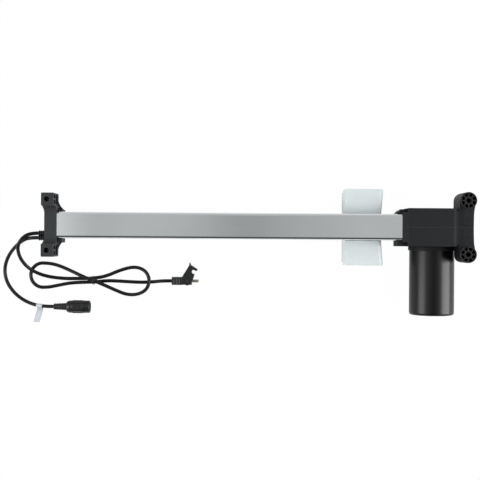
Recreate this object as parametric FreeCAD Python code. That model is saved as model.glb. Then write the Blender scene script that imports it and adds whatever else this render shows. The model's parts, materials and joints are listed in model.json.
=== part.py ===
"""Electric linear actuator of the recliner kind: motor, worm drive, spindle, rail and slider.

Millimetres. While modelling, x runs along the rail from the line of the front mounting holes, y across it
from the spindle axis and z up from the surface that the actuator lies on. The finished pieces are then
moved so that the origin is the middle of the actuator's base.
"""
import math
import os

import FreeCAD
import Part

V = FreeCAD.Vector
X_AXIS = V(1, 0, 0)
Y_AXIS = V(0, 1, 0)
Z_AXIS = V(0, 0, 1)

# How far a cutting body runs past the face that it opens
OVERCUT = 1.0

# Mounting points
MOUNT_SPAN = 502.0
MOUNT_RISE = 26.0
FRONT_HOLE_SPACING = 61.0
FRONT_HOLE_RADIUS = 3.25
REAR_HOLE_SPACING = 64.4
REAR_HOLE_RADIUS = 3.1

# Rail
RAIL_WIDTH = 32.0
RAIL_DEPTH = 30.0
RAIL_WALL = 1.8
RAIL_CORNER = 3.5
RAIL_SLOT = 14.0
RAIL_LIP = 2.2
RAIL_FIT = 0.15
RAIL_IN_CASE = 11.0
RAIL_IN_BRACKET = 8.0

# Front bracket
LUG_LENGTH = 15.0
LUG_WIDTH = 15.5
LUG_DEPTH = 33.0
LUG_EDGE = 6.7
LUG_CORNER = 1.2
COLUMN_THICKNESS = 14.7
COLUMN_PROUD = 1.7
COLUMN_BLEND = 9.0
COLUMN_FRONT_WALL = 1.2
COLUMN_SIDE_WALL = 6.0
COLUMN_BACK_WALL = 2.5
TONGUE_LENGTH = 5.8
TONGUE_UPPER = 2.3
TONGUE_LOWER = 5.3
TONGUE_HALF_DEPTH = 11.0
SADDLE_RADIUS = 8.0
LUG_POCKET_DEPTH = 3.8
LUG_POCKET_FOOT = 6.0
LUG_POCKET_SPLIT = 0.42
LUG_RIB = 2.2
GUSSET_HEIGHT = 4.0
GUSSET_ROOT = 2.0
GUSSET_BOW = 0.3
GUSSET_LOWER_LENGTH = 3.0

# Spindle and its bearings
SPINDLE_RADIUS = 5.0
JOURNAL_RADIUS = 4.0
RUNNING_FIT = 0.05
BUSH_WALL = 2.0
BUSH_LENGTH = 4.5
BUSH_FLANGE = 1.5
BUSH_FLANGE_WIDTH = 2.0
SHOULDER_GAP = 0.3
SPINDLE_END_GAP = 0.5
BEARING_RADIUS = 13.0
BEARING_WIDTH = 8.0
RACE_WALL = 2.5
BEARING_SHIELD_GAP = 0.3
BEARING_SHIELD = 1.0
BEARING_GROOVE = 2.5
CLIP_THICKNESS = 1.5
CLIP_RADIUS = 7.5
CLIP_GROOVE = 1.0

# Worm drive
WORM_CENTRES = 22.0
WHEEL_TEETH = 24
GEAR_MODULE = 1.25
PRESSURE_ANGLE = 20.0
GEAR_BACKLASH = 0.4
ADDENDUM = 1.0
DEDENDUM = 1.5
WHEEL_WIDTH = 10.0
WHEEL_HUB_RADIUS = 9.0
WHEEL_HUB_LENGTH = 14.2
WHEEL_HOLLOW = 2.5
WHEEL_RIM = 1.5
WORM_LENGTH = 19.0
KEY_WIDTH = 3.0
KEY_INSET = 2.0
CHAMBER_GAP = 1.8

# Gear case and rear bosses
CASE_LENGTH = 60.2
CASE_WIDTH = 46.0
CASE_RISE = 21.0
CASE_FLOOR_GAP = 3.0
CASE_CORNER = 3.0
CASE_EDGE = 1.6
NECK_LENGTH = 5.5
NECK_WIDTH = 36.0
NECK_START_WALL = 1.3
JAW_LENGTH = 12.0
JAW_HALF_DEPTH = 13.0
JAW_ROOT = 4.0
JAW_TIP_WALL = 0.6
JAW_RAMP = 4.0
BOSS_RADIUS = 10.1
BOSS_DEPTH = 37.0
BOSS_WALL = 1.5
BOSS_HUB_WALL = 1.8
BOSS_SPOKE = 1.2
BOSS_SPOKES = 8
BOSS_POCKET = 14.0
BOSS_PROUD = 3.0
BAR_WAIST = 7.5
BAR_SHOULDER = math.radians(24)
BAR_BEND = 12.5
BAR_GROOVE = 1.0
BAR_GROOVE_RADIUS = 15.0
BAR_SETBACK = 11.0

# Motor
MOTOR_RADIUS = 27.5
MOTOR_LENGTH = 79.6
MOTOR_SETBACK = 34.1
MOTOR_SCREW_GRIP = 6.0
MOTOR_SCREW_WALL = 3.5
CAN_WALL = 2.0
CAN_END_RADIUS = 3.0
COLLAR_RADIUS = 29.0
COLLAR_LENGTH = 5.0
COLLAR_SPIGOT = 3.0
SHAFT_RADIUS = 3.0
SHAFT_END_GAP = 0.4
TIP_BUSH_GAP = 3.0
MAGNET_THICKNESS = 6.2
MAGNET_OVERHANG = 5.0
MAGNET_ANGLE = 130.0
AIR_GAP = 0.6
CORE_SLOTS = 12
CORE_SLOT_WIDTH = 2.4
CORE_SLOT_DEPTH = 8.0
WINDING_LENGTH = 4.5
WINDING_END_GAP = 2.2
WINDING_INSET = 3.0
COMMUTATOR_RADIUS = 8.0
COMMUTATOR_LENGTH = 11.0
COMMUTATOR_GAP = 1.0
BRUSH_WIDTH = 6.0
BRUSH_THICKNESS = 5.0
BRUSH_LENGTH = 12.0
BRUSH_BOX_WALL = 1.0
HOLDER_THICKNESS = 2.5

# Slider and nut
SLIDER_LENGTH = 47.6
SLIDER_WIDTH = 94.0
SLIDER_WING_RISE = 5.0
SLIDER_PARK_GAP = 12.2
SLIDER_FRONT_GAP = 13.2
SLIDER_FIT = 0.4
SLIDER_EDGE = 6.0
SLIDER_SLANT = 2.5
SLIDER_REBATE = 3.0
SLIDER_REBATE_HEIGHT = 13.2
SLIDER_CORNER = 1.5
SLIDER_WALL = 4.0
SLIDER_POCKET_DEPTH = 16.0
TRUNNION_RADIUS = 5.0
TRUNNION_DEPTH = 22.0
NUT_LENGTH = 40.0
NUT_ABOVE_AXIS = 8.0
NUT_SCREW_SPACING = 30.0
NUT_SCREW_GAP = 1.2
NUT_CORNER = 2.0

# Fasteners
SCREW_RADIUS = 1.75
SCREW_HEAD_RADIUS = 3.3
SCREW_HEAD_HEIGHT = 2.2
SCREW_FIT = 0.05
HEAD_FIT = 0.2
SCREW_SINK = 1.0
CASE_SCREW_GRIP = 14.0
RAIL_SCREW_RADIUS = 1.5
RAIL_SCREW_HEAD = 2.4

# Switches and wires inside the rail
SWITCH_LENGTH = 12.8
SWITCH_WIDTH = 6.0
SWITCH_HEIGHT = 4.2
WIRE_RADIUS = 1.2
WIRE_COUNT = 3
WIRE_OFFSET = 4.0
WIRE_GAP = 0.2
SWITCH_BUTTON = 1.0
SWITCH_TRIP = 0.4

# Cables and what is on them
CABLE_DIAMETER = 4.5
CABLE_REST_GAP = 0.15
CABLE_CROSSING_GAP = 0.4
END_REST_GAP = 0.1
END_LEAD = 11.0
GLAND_LENGTH = 11.0
GLAND_WALL = 0.6
GLAND_PROUD = 0.5
GLAND_END_GAP = 1.5
GLAND_RIBS = 4
GLAND_RIB = 0.5
GLAND_RISE = 40.0
SUPPLY_EXIT_Y = -10.0
HANDSET_EXIT_Y = -15.6
SOCKET_RADIUS = 8.2
SOCKET_LENGTH = 30.0
SOCKET_WALL = 1.6
SOCKET_RELIEF_LENGTH = 15.8
SOCKET_RELIEF_RADIUS = 3.8
SOCKET_RELIEF_FLARE = 0.8
SOCKET_RELIEF_RINGS = 4
SOCKET_RELIEF_GROOVE = 0.3
SOCKET_RELIEF_LEAD = 0.6
SOCKET_RIM_DROP = 0.4
SOCKET_INSERT_LENGTH = 14.5
SOCKET_PANELS = 6
SOCKET_PANEL_WIDTH = 5.0
SOCKET_PANEL_DEPTH = 0.85
SOCKET_CONTACTS = 5
SOCKET_CONTACT_RADIUS = 1.0
SOCKET_CONTACT_CIRCLE = 3.8
PLUG_BODY_LENGTH = 13.0
PLUG_NOSE_LENGTH = 12.1
PLUG_HEIGHT = 9.9
PLUG_WIDTH = 12.4
PLUG_NOSE_WIDTH = 9.4
PLUG_PIN_RADIUS = 1.8
PLUG_PIN_LENGTH = 8.8
PLUG_PIN_SPACING = 5.0
PLUG_PIN_ROOT = 3.5
LATCH_CHEEK = 1.3
LATCH_SIDE_GAP = 0.25
LATCH_WEB = 1.4
LATCH_PIVOT_INSET = 5.6
LATCH_ROUND = 5.4
LATCH_PIN_RADIUS = 1.2
# The clip's side view, from its pivot: heel, two-fingered hook and thumb tip
LATCH_SHOULDER = (4.4, -2.4)
LATCH_FRONT = ((7.1, 2.7), (8.9, 8.9))
LATCH_MOUTH = ((5.2, 11.2), (7.6, 14.2))
LATCH_HOOK = ((11.6, 12.5), (12.9, 14.7), (4.4, 20.2))
LATCH_HOOK_ROOT = (4.6, 17.4)
LATCH_THUMB = (2.7, 23.6)
LATCH_BACK = ((2.2, 19.6), (-6.4, 5.6))
TIE_WIDTH = 3.6
TIE_THICKNESS = 0.8
TIE_FIT = 0.6
TIE_CROSSING = 1.6
TAG_WIDTH = 8.2
TAG_LENGTH = 22.0
TAG_THICKNESS = 0.4
TAG_FLAG_THICKNESS = 0.28
TAG_REST_GAP = 0.2
TAG_FIT = 0.25
TAG_LEAN = 10.0

# Places worked out from the sizes above
SPINDLE_Z = MOTOR_RADIUS + WORM_CENTRES
RAIL_FRONT_Z = SPINDLE_Z + RAIL_DEPTH / 2
RAIL_BACK_Z = SPINDLE_Z - RAIL_DEPTH / 2
MOUNT_Z = SPINDLE_Z + MOUNT_RISE
COLUMN_X = LUG_LENGTH - LUG_EDGE + COLUMN_PROUD
RAIL_X0 = COLUMN_X - RAIL_IN_BRACKET
TONGUE_X = COLUMN_X + TONGUE_LENGTH
CASE_X1 = MOUNT_SPAN - BAR_SETBACK
CASE_X0 = CASE_X1 - CASE_LENGTH
CASE_FRONT_Z = SPINDLE_Z + CASE_RISE
BAR_SADDLE = MOUNT_RISE - CASE_RISE
RAIL_X1 = CASE_X0 + RAIL_IN_CASE
JAW_X = CASE_X0 - JAW_LENGTH
MOTOR_X = MOUNT_SPAN - MOTOR_SETBACK
MOTOR_Z = MOTOR_RADIUS
COLLAR_Y = -CASE_WIDTH / 2
CAN_Y = COLLAR_Y - COLLAR_LENGTH
CAN_END_Y = CAN_Y - MOTOR_LENGTH
SLIDER_X1 = JAW_X - SLIDER_PARK_GAP
SLIDER_X0 = SLIDER_X1 - SLIDER_LENGTH
STROKE = SLIDER_X0 - TONGUE_X - SLIDER_FRONT_GAP
SLIDER_FRONT_Z = RAIL_BACK_Z + SLIDER_WING_RISE
CHANNEL_Z = RAIL_BACK_Z - SLIDER_FIT
WHEEL_RADIUS = GEAR_MODULE * WHEEL_TEETH / 2
WORM_RADIUS = WORM_CENTRES - WHEEL_RADIUS
WORM_PITCH = math.pi * GEAR_MODULE
HUB_X0 = MOTOR_X - WHEEL_HUB_LENGTH / 2
HUB_X1 = MOTOR_X + WHEEL_HUB_LENGTH / 2
FRONT_BEARING_X = HUB_X0 - BEARING_WIDTH
SPINDLE_X1 = HUB_X1 + BEARING_WIDTH + CLIP_THICKNESS
TIP_BUSH_Y = WORM_LENGTH / 2 + TIP_BUSH_GAP
REAR_BUSH_Y = CAN_END_Y + CAN_WALL
COMMUTATOR_Y = CAN_Y - COLLAR_SPIGOT - HOLDER_THICKNESS - COMMUTATOR_GAP
CORE_Y = COMMUTATOR_Y - COMMUTATOR_LENGTH - WINDING_LENGTH
CORE_LENGTH = CORE_Y - WINDING_LENGTH - (REAR_BUSH_Y + BUSH_LENGTH + WINDING_END_GAP)
MAGNET_LENGTH = CORE_LENGTH + 2 * MAGNET_OVERHANG
GLAND_X = COLUMN_X - COLUMN_THICKNESS - GLAND_PROUD
CABLE_X = GLAND_X - GLAND_LENGTH
FRONT_SCREW_X = (COLUMN_X + TONGUE_X) / 2
FRONT_SCREW_TOPS = (RAIL_WIDTH / 2 + TONGUE_UPPER + SCREW_HEAD_HEIGHT / 2, RAIL_WIDTH / 2 + TONGUE_LOWER)
REAR_SCREW_X = JAW_X + JAW_LENGTH * 0.6
REAR_SCREW_TOPS = (CASE_WIDTH / 2 - SCREW_SINK, CASE_WIDTH / 2 - SCREW_SINK)
FRONT_END_X = -LUG_EDGE
REAR_END_X = MOUNT_SPAN + BOSS_RADIUS
ROW_SHIFT = V(-(FRONT_END_X + REAR_END_X) / 2, -(CAN_END_Y + SLIDER_WIDTH / 2) / 2, 0)

# Cable routes, chosen by hand: the short one to the socket, the long one to the plug
FLOOR_Z = CABLE_DIAMETER / 2 + CABLE_REST_GAP
SOCKET_X = -3.5
SOCKET_Y = -102.0
SOCKET_Z = SOCKET_RADIUS + END_REST_GAP
PLUG_X = 144.9
PLUG_Y = -68.8
PLUG_Z = PLUG_WIDTH / 2 + END_REST_GAP
TIE_X = 46.0
TIE_LOW_Z = FLOOR_Z + TIE_THICKNESS + TIE_FIT
TIE_TOP_Z = TIE_LOW_Z + CABLE_DIAMETER + 0.3
TIE_STRAND_Y = (-66.3, -71.1)
OVER_Z = FLOOR_Z + CABLE_DIAMETER + CABLE_CROSSING_GAP
HANDSET_ROUTE = [
    V(CABLE_X, HANDSET_EXIT_Y, GLAND_RISE),
    V(CABLE_X - END_LEAD, HANDSET_EXIT_Y, GLAND_RISE),
    V(-37.5, -18.6, 32.0),
    V(-49.5, -26.5, 20.5),
    V(-61.0, -38.5, 9.0),
    V(-67.4, -54.0, 3.0),
    V(-65.0, -71.0, FLOOR_Z),
    V(-55.0, -85.5, FLOOR_Z),
    V(-42.5, -95.0, FLOOR_Z),
    V(-28.5, -100.5, 4.0),
    V(SOCKET_X - END_LEAD, SOCKET_Y, SOCKET_Z),
    V(SOCKET_X, SOCKET_Y, SOCKET_Z),
]
SUPPLY_ROUTE = [
    V(CABLE_X, SUPPLY_EXIT_Y, GLAND_RISE),
    V(CABLE_X - 9.5, SUPPLY_EXIT_Y, GLAND_RISE),
    V(-35.4, -14.8, 42.2),
    V(-42.8, -25.2, 39.0),
    V(-43.6, -37.6, 27.6),
    V(-39.0, -49.5, 15.6),
    V(-28.5, -58.6, OVER_Z + 1.0),
    V(-13.0, -64.5, 4.2),
    V(7.5, -67.0, FLOOR_Z),
    V(26.5, -66.8, FLOOR_Z + 0.4),
    V(TIE_X, TIE_STRAND_Y[0], TIE_LOW_Z),
    V(61.5, -63.6, FLOOR_Z),
    V(79.0, -55.8, FLOOR_Z),
    V(97.0, -51.0, FLOOR_Z),
    V(111.0, -55.5, FLOOR_Z + 2.2),
    V(117.2, -67.2, OVER_Z),
    V(113.6, -80.0, OVER_Z),
    V(101.5, -86.6, FLOOR_Z + 2.0),
    V(87.0, -86.8, FLOOR_Z),
    V(72.0, -80.4, FLOOR_Z + 2.0),
    V(55.0, -72.4, TIE_TOP_Z),
    V(34.0, -64.6, TIE_TOP_Z),
    V(14.0, -55.5, FLOOR_Z + 1.5),
    V(-1.0, -49.6, FLOOR_Z),
    V(-12.2, -47.6, FLOOR_Z),
    V(-24.9, -47.5, FLOOR_Z),
    V(-33.9, -56.4, FLOOR_Z),
    V(-33.8, -69.1, FLOOR_Z),
    V(-24.8, -78.1, FLOOR_Z),
    V(-12.1, -78.2, FLOOR_Z),
    V(1.0, -75.5, FLOOR_Z),
    V(14.0, -72.8, FLOOR_Z),
    V(27.5, -71.6, FLOOR_Z + 0.4),
    V(TIE_X, TIE_STRAND_Y[1], TIE_LOW_Z),
    V(64.0, -69.0, FLOOR_Z + 0.2),
    V(86.0, -70.2, FLOOR_Z),
    V(106.0, -71.2, FLOOR_Z),
    V(121.5, -70.3, FLOOR_Z + 0.4),
    V(PLUG_X - END_LEAD, PLUG_Y, PLUG_Z),
    V(PLUG_X, PLUG_Y, PLUG_Z),
]


def box(low, high):
    """Block between two opposite corners."""
    size = high - low
    return Part.makeBox(size.x, size.y, size.z, low)


def rounded_box(low, high, radius, along):
    """Block with the four edges that run along one axis rounded."""
    block = box(low, high)
    edges = [e for e in block.Edges if abs(e.tangentAt(e.FirstParameter).dot(along)) > 0.99]
    return block.makeFillet(radius, edges)


def rod(radius, start, end):
    """Round bar between two points."""
    return Part.makeCylinder(radius, (end - start).Length, start, end - start)


def tube(outer, inner, start, end):
    """Round bar with a bore."""
    return rod(outer, start, end).cut(rod(inner, start, end))


def fused(shapes):
    """One solid from several that meet."""
    whole = shapes[0]
    if len(shapes) > 1:
        whole = whole.fuse(shapes[1:])
    return whole.removeSplitter()


def outline(start, *steps):
    """Closed wire: a step is the end of a straight line, or the (middle, end) of an arc."""
    edges = []
    here = start
    for step in steps:
        if isinstance(step, tuple):
            middle, there = step
            edges.append(Part.Arc(here, middle, there).toShape())
        else:
            there = step
            edges.append(Part.LineSegment(here, there).toShape())
        here = there
    if here.distanceToPoint(start) > 1e-6:
        edges.append(Part.LineSegment(here, start).toShape())
    return Part.Wire(edges)


def prism(wire, along):
    """Solid swept straight from a closed flat wire."""
    return Part.Face(wire).extrude(along)


def revolved(points, origin, axis):
    """Solid of revolution: points are (place along the axis, radius)."""
    side = Z_AXIS if abs(axis.dot(Z_AXIS)) < 0.5 else X_AXIS
    corners = [origin + axis * along + side * radius for along, radius in points]
    return Part.Face(outline(*corners)).revolve(origin, axis, 360)


def screw(head, tip, radius, head_radius, head_height):
    """Pan-head screw from the top of its head to its tip."""
    along = (tip - head).normalize()
    seat = head + along * head_height
    return fused([rod(head_radius, head, seat), rod(radius, seat, tip)])


def body_screw(head, tip):
    """The screw that closes the case and holds motor and nut."""
    return screw(head, tip, SCREW_RADIUS, SCREW_HEAD_RADIUS, SCREW_HEAD_HEIGHT)


def on_spindle(x, y=0.0, z=0.0):
    """Point given from the spindle axis."""
    return V(x, y, SPINDLE_Z + z)


def on_motor(y, x=0.0, z=0.0):
    """Point given from the motor axis."""
    return V(MOTOR_X + x, y, MOTOR_Z + z)


def rail_block(x0, x1, grow):
    """The rail's outer form between two places, larger by a clearance all round."""
    low = on_spindle(x0, -RAIL_WIDTH / 2 - grow, -RAIL_DEPTH / 2 - grow)
    high = on_spindle(x1, RAIL_WIDTH / 2 + grow, RAIL_DEPTH / 2 + grow)
    return rounded_box(low, high, RAIL_CORNER + grow, X_AXIS)


def make_rail():
    """Extrusion with a slot in its back, whose edges turn inward as lips."""
    inner_y = RAIL_WIDTH / 2 - RAIL_WALL
    inner_z = RAIL_DEPTH / 2 - RAIL_WALL
    low = on_spindle(RAIL_X0, -inner_y, -inner_z)
    high = on_spindle(RAIL_X1, inner_y, inner_z)
    cavity = rounded_box(low, high, RAIL_CORNER - RAIL_WALL, X_AXIS)
    lips = []
    for side in (-1, 1):
        near = side * RAIL_SLOT / 2
        far = side * (RAIL_SLOT / 2 + RAIL_WALL)
        lips.append(box(V(RAIL_X0, min(near, far), RAIL_BACK_Z + RAIL_WALL / 2),
                        V(RAIL_X1, max(near, far), RAIL_BACK_Z + RAIL_WALL + RAIL_LIP)))
    slot = box(V(RAIL_X0, -RAIL_SLOT / 2, RAIL_BACK_Z), on_spindle(RAIL_X1, RAIL_SLOT / 2))
    rail = rail_block(RAIL_X0, RAIL_X1, 0).cut(cavity)
    rail = fused([rail] + lips).cut(slot)
    for x in (FRONT_SCREW_X, REAR_SCREW_X):
        rail = rail.cut(rod(RAIL_SCREW_RADIUS + SCREW_FIT, on_spindle(x, -RAIL_WIDTH),
                            on_spindle(x, RAIL_WIDTH)))
    return rail.removeSplitter()


def rail_screws(x, tops):
    """Two screws across the rail, one through each side wall, with their heads at the given places."""
    screws = []
    for side, top in zip((1, -1), tops):
        tip = side * (RAIL_WIDTH / 2 - RAIL_WALL)
        screws.append(screw(on_spindle(x, side * top), on_spindle(x, tip),
                            RAIL_SCREW_RADIUS, RAIL_SCREW_HEAD, SCREW_HEAD_HEIGHT / 2))
    return Part.makeCompound(screws)


def screw_seats(x, tops):
    """What the rail screws take out of a moulding: their holes."""
    seats = []
    for side, top in zip((1, -1), tops):
        seats.append(rod(RAIL_SCREW_RADIUS + SCREW_FIT, on_spindle(x, side * RAIL_WIDTH / 4),
                         on_spindle(x, side * (top + SCREW_HEAD_HEIGHT))))
        seats.append(rod(RAIL_SCREW_HEAD + SCREW_FIT * 2,
                         on_spindle(x, side * (top - SCREW_HEAD_HEIGHT / 2)),
                         on_spindle(x, side * (top + SCREW_HEAD_HEIGHT))))
    return seats


def lug_body(side):
    """One drilled lug of the front bracket, with the gusset that runs back to the rail."""
    middle = side * FRONT_HOLE_SPACING / 2
    low_y, high_y = middle - LUG_WIDTH / 2, middle + LUG_WIDTH / 2
    lug = rounded_box(V(FRONT_END_X, low_y, MOUNT_Z - LUG_DEPTH),
                      V(FRONT_END_X + LUG_LENGTH, high_y, MOUNT_Z), LUG_CORNER, Z_AXIS)
    x0 = FRONT_END_X + LUG_LENGTH
    x1 = TONGUE_X if side > 0 else COLUMN_X + GUSSET_LOWER_LENGTH
    inner = RAIL_WIDTH / 2 + (TONGUE_UPPER if side > 0 else TONGUE_LOWER)
    outer = abs(middle) + LUG_WIDTH / 2 - LUG_CORNER
    z = MOUNT_Z - LUG_DEPTH
    bow_x, bow_y = x0 + (x1 - x0) * GUSSET_BOW, inner + (outer - inner) * GUSSET_BOW
    gusset = outline(V(x0 - GUSSET_ROOT, side * inner, z), V(x1, side * inner, z),
                     (V(bow_x, side * bow_y, z), V(x0, side * outer, z)),
                     V(x0 - GUSSET_ROOT, side * outer, z))
    return fused([lug, prism(gusset, Z_AXIS * GUSSET_HEIGHT)])


def lug_pockets(side):
    """Core-outs in the lug's side: two in front, one long one behind, with ribs left between."""
    middle = side * FRONT_HOLE_SPACING / 2
    x1 = FRONT_END_X + LUG_LENGTH
    x0 = x1 - LUG_POCKET_DEPTH
    half = LUG_WIDTH / 2 - LUG_RIB
    top = MOUNT_Z - LUG_RIB
    split = MOUNT_Z - LUG_DEPTH * LUG_POCKET_SPLIT
    pockets = [box(V(x0, middle - half, MOUNT_Z - LUG_DEPTH + LUG_POCKET_FOOT),
                   V(x1, middle + half, split - LUG_RIB / 2))]
    for row in (-1, 1):
        near, far = row * LUG_RIB / 2, row * half
        pockets.append(box(V(x0, middle + min(near, far), split + LUG_RIB / 2),
                           V(x1, middle + max(near, far), top)))
    return pockets


def make_front_bracket():
    """Moulded end with the rail's socket, two lugs, side tongues and the holes for bush and gland."""
    half = RAIL_WIDTH / 2 + COLUMN_SIDE_WALL
    back = RAIL_BACK_Z - COLUMN_BACK_WALL
    front = RAIL_FRONT_Z + COLUMN_FRONT_WALL
    left = COLUMN_X - COLUMN_THICKNESS
    lug_left = FRONT_END_X
    reach = FRONT_HOLE_SPACING / 2
    hip = lug_left + LUG_CORNER / 3
    bow = left - (left - hip) / 4
    column = outline(V(COLUMN_X, -reach, back), V(COLUMN_X, reach, back),
                     V(lug_left + LUG_CORNER, reach, back),
                     V(hip, half, back),
                     (V(bow, half - COLUMN_BLEND / 2, back), V(left, half - COLUMN_BLEND, back)),
                     V(left, -half + COLUMN_BLEND, back),
                     (V(bow, -half + COLUMN_BLEND / 2, back), V(hip, -half, back)),
                     V(lug_left + LUG_CORNER, -reach, back))
    body = prism(column, Z_AXIS * (MOUNT_Z - back))
    trim = reach - LUG_WIDTH / 2
    saddle = rounded_box(V(FRONT_END_X - OVERCUT, -trim, front),
                         V(TONGUE_X, trim, MOUNT_Z + 2 * SADDLE_RADIUS), SADDLE_RADIUS, X_AXIS)
    body = body.cut(saddle)
    edge = FRONT_END_X + LUG_LENGTH
    for side in (-1, 1):
        far = side * (reach + OVERCUT)
        near = side * half
        body = body.cut(box(V(FRONT_END_X - OVERCUT, min(near, far), back - OVERCUT),
                            V(COLUMN_X + OVERCUT, max(near, far), MOUNT_Z - LUG_DEPTH)))
        near = side * trim
        body = body.cut(box(V(edge, min(near, far), back - OVERCUT),
                            V(COLUMN_X + OVERCUT, max(near, far), MOUNT_Z + OVERCUT)))
    tongues = [box(on_spindle(COLUMN_X - OVERCUT, RAIL_WIDTH / 2 - RAIL_WALL, -TONGUE_HALF_DEPTH),
                   on_spindle(TONGUE_X, RAIL_WIDTH / 2 + TONGUE_UPPER, TONGUE_HALF_DEPTH)),
               box(on_spindle(COLUMN_X - OVERCUT, -RAIL_WIDTH / 2 - TONGUE_LOWER, -TONGUE_HALF_DEPTH),
                   on_spindle(TONGUE_X, -RAIL_WIDTH / 2 + RAIL_WALL, TONGUE_HALF_DEPTH))]
    body = fused([body, lug_body(1), lug_body(-1)] + tongues)
    body = body.cut(rail_block(RAIL_X0, TONGUE_X + OVERCUT, RAIL_FIT))
    bush_radius = JOURNAL_RADIUS + RUNNING_FIT + BUSH_WALL
    cuts = [rod(bush_radius, on_spindle(RAIL_X0 - BUSH_LENGTH), on_spindle(RAIL_X0 + OVERCUT))]
    for side in (-1, 1):
        cuts += lug_pockets(side)
        foot = V(0, side * FRONT_HOLE_SPACING / 2, back)
        cuts.append(rod(FRONT_HOLE_RADIUS, foot, foot + Z_AXIS * (MOUNT_Z - back + OVERCUT)))
    for y in (SUPPLY_EXIT_Y, HANDSET_EXIT_Y):
        cuts.append(rod(CABLE_DIAMETER / 2 + GLAND_WALL, V(left - OVERCUT, y, GLAND_RISE),
                        V(RAIL_X0 - GLAND_END_GAP, y, GLAND_RISE)))
    return body.cut(cuts + screw_seats(FRONT_SCREW_X, FRONT_SCREW_TOPS)).removeSplitter()


def make_front_bush():
    """Flanged bush that carries the spindle's front journal."""
    inner = JOURNAL_RADIUS + RUNNING_FIT
    outer = inner + BUSH_WALL
    start = on_spindle(RAIL_X0 - BUSH_LENGTH)
    seat, face = BUSH_LENGTH, BUSH_LENGTH + BUSH_FLANGE
    rim = outer + BUSH_FLANGE_WIDTH
    return revolved([(0, inner), (0, outer), (seat, outer), (seat, rim), (face, rim), (face, inner)],
                    start, X_AXIS)


def make_spindle():
    """Drive screw without its thread, with a journal in front and a keyway under the wheel."""
    shoulder = RAIL_X0 + BUSH_FLANGE + SHOULDER_GAP
    journal = rod(JOURNAL_RADIUS, on_spindle(RAIL_X0 - BUSH_LENGTH + SPINDLE_END_GAP), on_spindle(shoulder))
    bar = rod(SPINDLE_RADIUS, on_spindle(shoulder), on_spindle(SPINDLE_X1))
    tail = SPINDLE_X1 - CLIP_THICKNESS
    groove = tube(SPINDLE_RADIUS + OVERCUT, SPINDLE_RADIUS - CLIP_GROOVE, on_spindle(tail),
                  on_spindle(SPINDLE_X1))
    return fused([journal, bar]).cut([groove, key_block()])


def key_block():
    """Flat key between wheel and spindle."""
    half = KEY_WIDTH / 2
    return box(on_spindle(HUB_X0 + KEY_INSET, -half, SPINDLE_RADIUS - half),
               on_spindle(HUB_X1 - KEY_INSET, half, SPINDLE_RADIUS + half))


def tooth_ring(x, turn):
    """Closed profile of the worm wheel's teeth in one plane across the spindle, turned about its axis."""
    slope = math.tan(math.radians(PRESSURE_ANGLE))
    thick = (WORM_PITCH - GEAR_BACKLASH) / 4
    tip = WHEEL_RADIUS + ADDENDUM * GEAR_MODULE * 0.85
    root = WHEEL_RADIUS - DEDENDUM
    half_tip = (thick - (tip - WHEEL_RADIUS) * slope * 1.1) / tip
    half_root = (thick + (WHEEL_RADIUS - root) * slope * 0.75) / root
    points = []
    for tooth in range(WHEEL_TEETH):
        middle = turn + (tooth + 0.5) * 2 * math.pi / WHEEL_TEETH
        for radius, angle in ((root, -half_root), (tip, -half_tip), (tip, half_tip), (root, half_root)):
            points.append(on_spindle(x, radius * math.sin(middle + angle),
                                     -radius * math.cos(middle + angle)))
    return outline(*points)


def make_worm_wheel():
    """Helical wheel in mesh with the worm, with a hub and a thinner web."""
    lead = math.atan(WORM_PITCH / (2 * math.pi * WORM_RADIUS))
    turn = WHEEL_WIDTH / 2 * math.tan(lead) / WHEEL_RADIUS
    x0, x1 = MOTOR_X - WHEEL_WIDTH / 2, MOTOR_X + WHEEL_WIDTH / 2
    rim = Part.makeLoft([tooth_ring(x0, -turn), tooth_ring(x1, turn)], True, True)
    rim_inner = WHEEL_RADIUS - DEDENDUM - WHEEL_RIM
    hollows = [tube(rim_inner, WHEEL_HUB_RADIUS, on_spindle(x0), on_spindle(x0 + WHEEL_HOLLOW)),
               tube(rim_inner, WHEEL_HUB_RADIUS, on_spindle(x1 - WHEEL_HOLLOW), on_spindle(x1))]
    hub = rod(WHEEL_HUB_RADIUS, on_spindle(HUB_X0), on_spindle(HUB_X1))
    wheel = rim.cut(hollows).fuse(hub)
    return wheel.cut([rod(SPINDLE_RADIUS, on_spindle(HUB_X0 - 1), on_spindle(HUB_X1 + 1)), key_block()])


def make_bearing_ring(x):
    """Outer ring and shields of a spindle bearing."""
    inner = SPINDLE_RADIUS + RACE_WALL + BEARING_SHIELD_GAP
    groove = inner + BEARING_GROOVE
    near, far = BEARING_SHIELD, BEARING_WIDTH - BEARING_SHIELD
    return revolved([(0, inner), (0, BEARING_RADIUS), (BEARING_WIDTH, BEARING_RADIUS), (BEARING_WIDTH, inner),
                     (far, inner), (far, groove), (near, groove), (near, inner)], on_spindle(x), X_AXIS)


def make_bearing_race(x):
    """Inner race of a spindle bearing."""
    return tube(SPINDLE_RADIUS + RACE_WALL, SPINDLE_RADIUS, on_spindle(x), on_spindle(x + BEARING_WIDTH))


def make_spindle_clip():
    """Retaining ring at the spindle's rear end."""
    return tube(CLIP_RADIUS, SPINDLE_RADIUS - CLIP_GROOVE, on_spindle(SPINDLE_X1 - CLIP_THICKNESS),
                on_spindle(SPINDLE_X1))


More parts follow.
